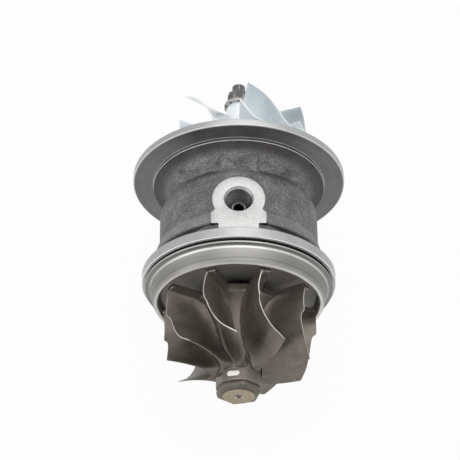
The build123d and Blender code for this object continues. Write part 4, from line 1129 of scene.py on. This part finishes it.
def compressor_blade_set(name, leading_y, offset_angle):
    """A set of six equal blades that end at the given height. Their roots start inside the hub."""
    hub = [(r - 0.25, y - 0.15 if y < leading_y else y) for r, y in line_to(COMPRESSOR_HUB, leading_y)]
    blade = blade_mesh(
        name, COMPRESSOR_WRAP, COMPRESSOR_FIRST + offset_angle, hub, line_to(COMPRESSOR_SHROUD, leading_y),
        curve_samples(COMPRESSOR_HUB), thickness=(0.75, 0.4), flare=0.9,
    )
    paint(blade, ALUMINIUM, ALUMINIUM_EDGE)
    blades = copies_round(blade, COMPRESSOR_BLADES, name)
    return finish_piece(blades, "rotor", "wheel_aluminium", "compressor_wheel")


def shaft_nut():
    """The flanged nut: a turned flange with slots under it, and twelve rounded points."""
    flange = turned("nut", [(radius, NUT_START + y) for radius, y in NUT_FLANGE], 120, smooth_angle=40)
    deselect()
    bpy.ops.mesh.primitive_cube_add(size=1)
    slot = bpy.context.object
    middle = Vector((0, NUT_START, NUT_SLOT_RADIUS))
    for vertex in slot.data.vertices:
        vertex.co = (middle + Vector(side * size for side, size in zip(vertex.co, NUT_SLOT_SIZE))) * MM
    cut_away(flange, copies_round(slot, NUT_SLOTS, "slots"))
    paint(flange, NUT_STEEL)
    tip = NUT_POINT_ROOT + NUT_POINT_DEPTH
    points = shaft_cylinder(4 * NUT_POINTS, tip, NUT_POINT_LENGTH, NUT_START + NUT_POINT_MIDDLE)
    for vertex in points.data.vertices:
        angle = atan2(vertex.co.x, vertex.co.z)
        wave = 0.5 + 0.5 * cos(NUT_POINTS * angle)
        vertex.co = polar(NUT_POINT_ROOT + NUT_POINT_DEPTH * wave, degrees(angle), vertex.co.y / MM) * MM
    tidy_mesh()
    add_bevel(points, 0.35, 2, 60)
    smooth(25)
    cut_away(points, shaft_cylinder(48, NUT_BORE, 10, NUT_START + 7))
    paint(points, DARK_STEEL)
    return finish_piece(join_pieces([flange, points], "shaft_nut_body"), "rotor", "black_steel", "shaft_nut")


# Finishes of the solid model's own nodes
NODE_FINISHES = (
    (CAST_IRON, ("bearing_housing",)),
    (SHAFT_STEEL, ("rotor_shaft", "thrust_ring", "thrust_collar", "flinger_sleeve")),
    (SHAFT_STEEL, ("turbine_piston_ring", "compressor_piston_ring")),
    (DARK_STEEL, ("bearing_retaining_rings", "seal_plate_retaining_ring", "thrust_bearing_screws")),
    (BRONZE, ("thrust_bearing", "turbine_bush", "compressor_bush")),
    (TURNED_RING, ("oil_deflector", "seal_plate")),
    (RUBBER, ("seal_plate_o_ring",)),
)


# Floor, backdrop, lights and camera
def seen_directly(tree):
    """1 for what the camera sees, straight, in a reflection or through glass."""
    path = add_node(tree, "LightPath")
    seen = math_node(tree, "MAXIMUM", path.outputs["Is Camera Ray"], path.outputs["Is Glossy Ray"])
    return math_node(tree, "MAXIMUM", seen, path.outputs["Is Transmission Ray"])


def mix_shaders(tree, share, first, second, output):
    """The first shader where the share is 0, and the second where it is 1."""
    mix = add_node(tree, "MixShader", Fac=share)
    tree.links.new(first.outputs[0], mix.inputs[1])
    tree.links.new(second.outputs[0], mix.inputs[2])
    tree.links.new(mix.outputs[0], tree.nodes[output].inputs["Surface"])


def pale_stage():
    """A pale floor under the object. It shows white to the camera and in reflections."""
    deselect()
    bpy.ops.mesh.primitive_plane_add(size=6, location=(0, 0, cad_low.z - 0.0002))
    floor = bpy.context.object
    floor.name = "floor"
    made, tree, shader = material("pale_floor", grey(0.82), 0.0, 0.9)
    glow = add_node(tree, "Emission", Strength=1.0)
    mix_shaders(tree, times(tree, seen_directly(tree), 0.96), shader, glow, "Material Output")
    paint(floor, made)


def studio_world():
    """Soft light from all round, white behind the object and in reflections."""
    world = bpy.data.worlds.new("studio")
    bpy.context.scene.world = world
    world.use_nodes = True
    tree = world.node_tree
    back = tree.nodes["Background"]
    back.inputs["Color"].default_value = (*grey(0.8), 1)
    back.inputs["Strength"].default_value = 0.5
    white = add_node(tree, "Background", Color=(1, 1, 1, 1))
    mix_shaders(tree, seen_directly(tree), back, white, "World Output")


# Soft boxes: name, place and size in metres, and power in watts
SOFT_LIGHTS = (("top_light", (0.15, 0.25, 1.4), 1.5, 9.0), ("left_light", (-1.2, -0.3, 0.7), 0.9, 2.6))


def soft_light(name, place, size, power):
    """A square soft box that faces the middle of the object."""
    deselect()
    turn = (CAMERA_AIM - Vector(place)).to_track_quat("-Z", "Y").to_euler()
    bpy.ops.object.light_add(type="AREA", location=place, rotation=turn)
    lamp = bpy.context.object
    lamp.name = name
    lamp.data.size = size
    lamp.data.energy = power


def photo_camera():
    """The photograph's camera: above the turbine end, in line with the shaft."""
    deselect()
    elevation = radians(CAMERA_ELEVATION)
    back = Vector((0, -cos(elevation), sin(elevation))) * CAMERA_DISTANCE * MM
    bpy.ops.object.camera_add(location=CAMERA_AIM + back, rotation=(pi / 2 - elevation, 0, 0))
    camera = bpy.context.object
    camera.name = "photo_camera"
    camera.data.sensor_width = SENSOR_WIDTH
    camera.data.lens = PHOTO_FOCAL_PIXELS / PHOTO_WIDTH * SENSOR_WIDTH
    camera.data.shift_x = -(PHOTO_SHAFT_COLUMN - PHOTO_WIDTH / 2) / PHOTO_WIDTH
    camera.data.clip_start = 0.01
    bpy.context.scene.camera = camera


housing_casting()
oil_pad()
inlet_thread()
housing_ring()
housing_disc()
heat_shield()
turbine_wheel()
compressor_hub()
compressor_blade_set("compressor_full_blades", INDUCER_Y, 0)
compressor_blade_set("compressor_splitters", SPLITTER_Y, 180 / COMPRESSOR_BLADES)
shaft_nut()
for node_finish, names in NODE_FINISHES:
    for name in names:
        paint(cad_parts[name], node_finish)

pale_stage()
studio_world()
for light in SOFT_LIGHTS:
    soft_light(*light)
photo_camera()
bpy.context.scene.view_settings.view_transform = "Standard"
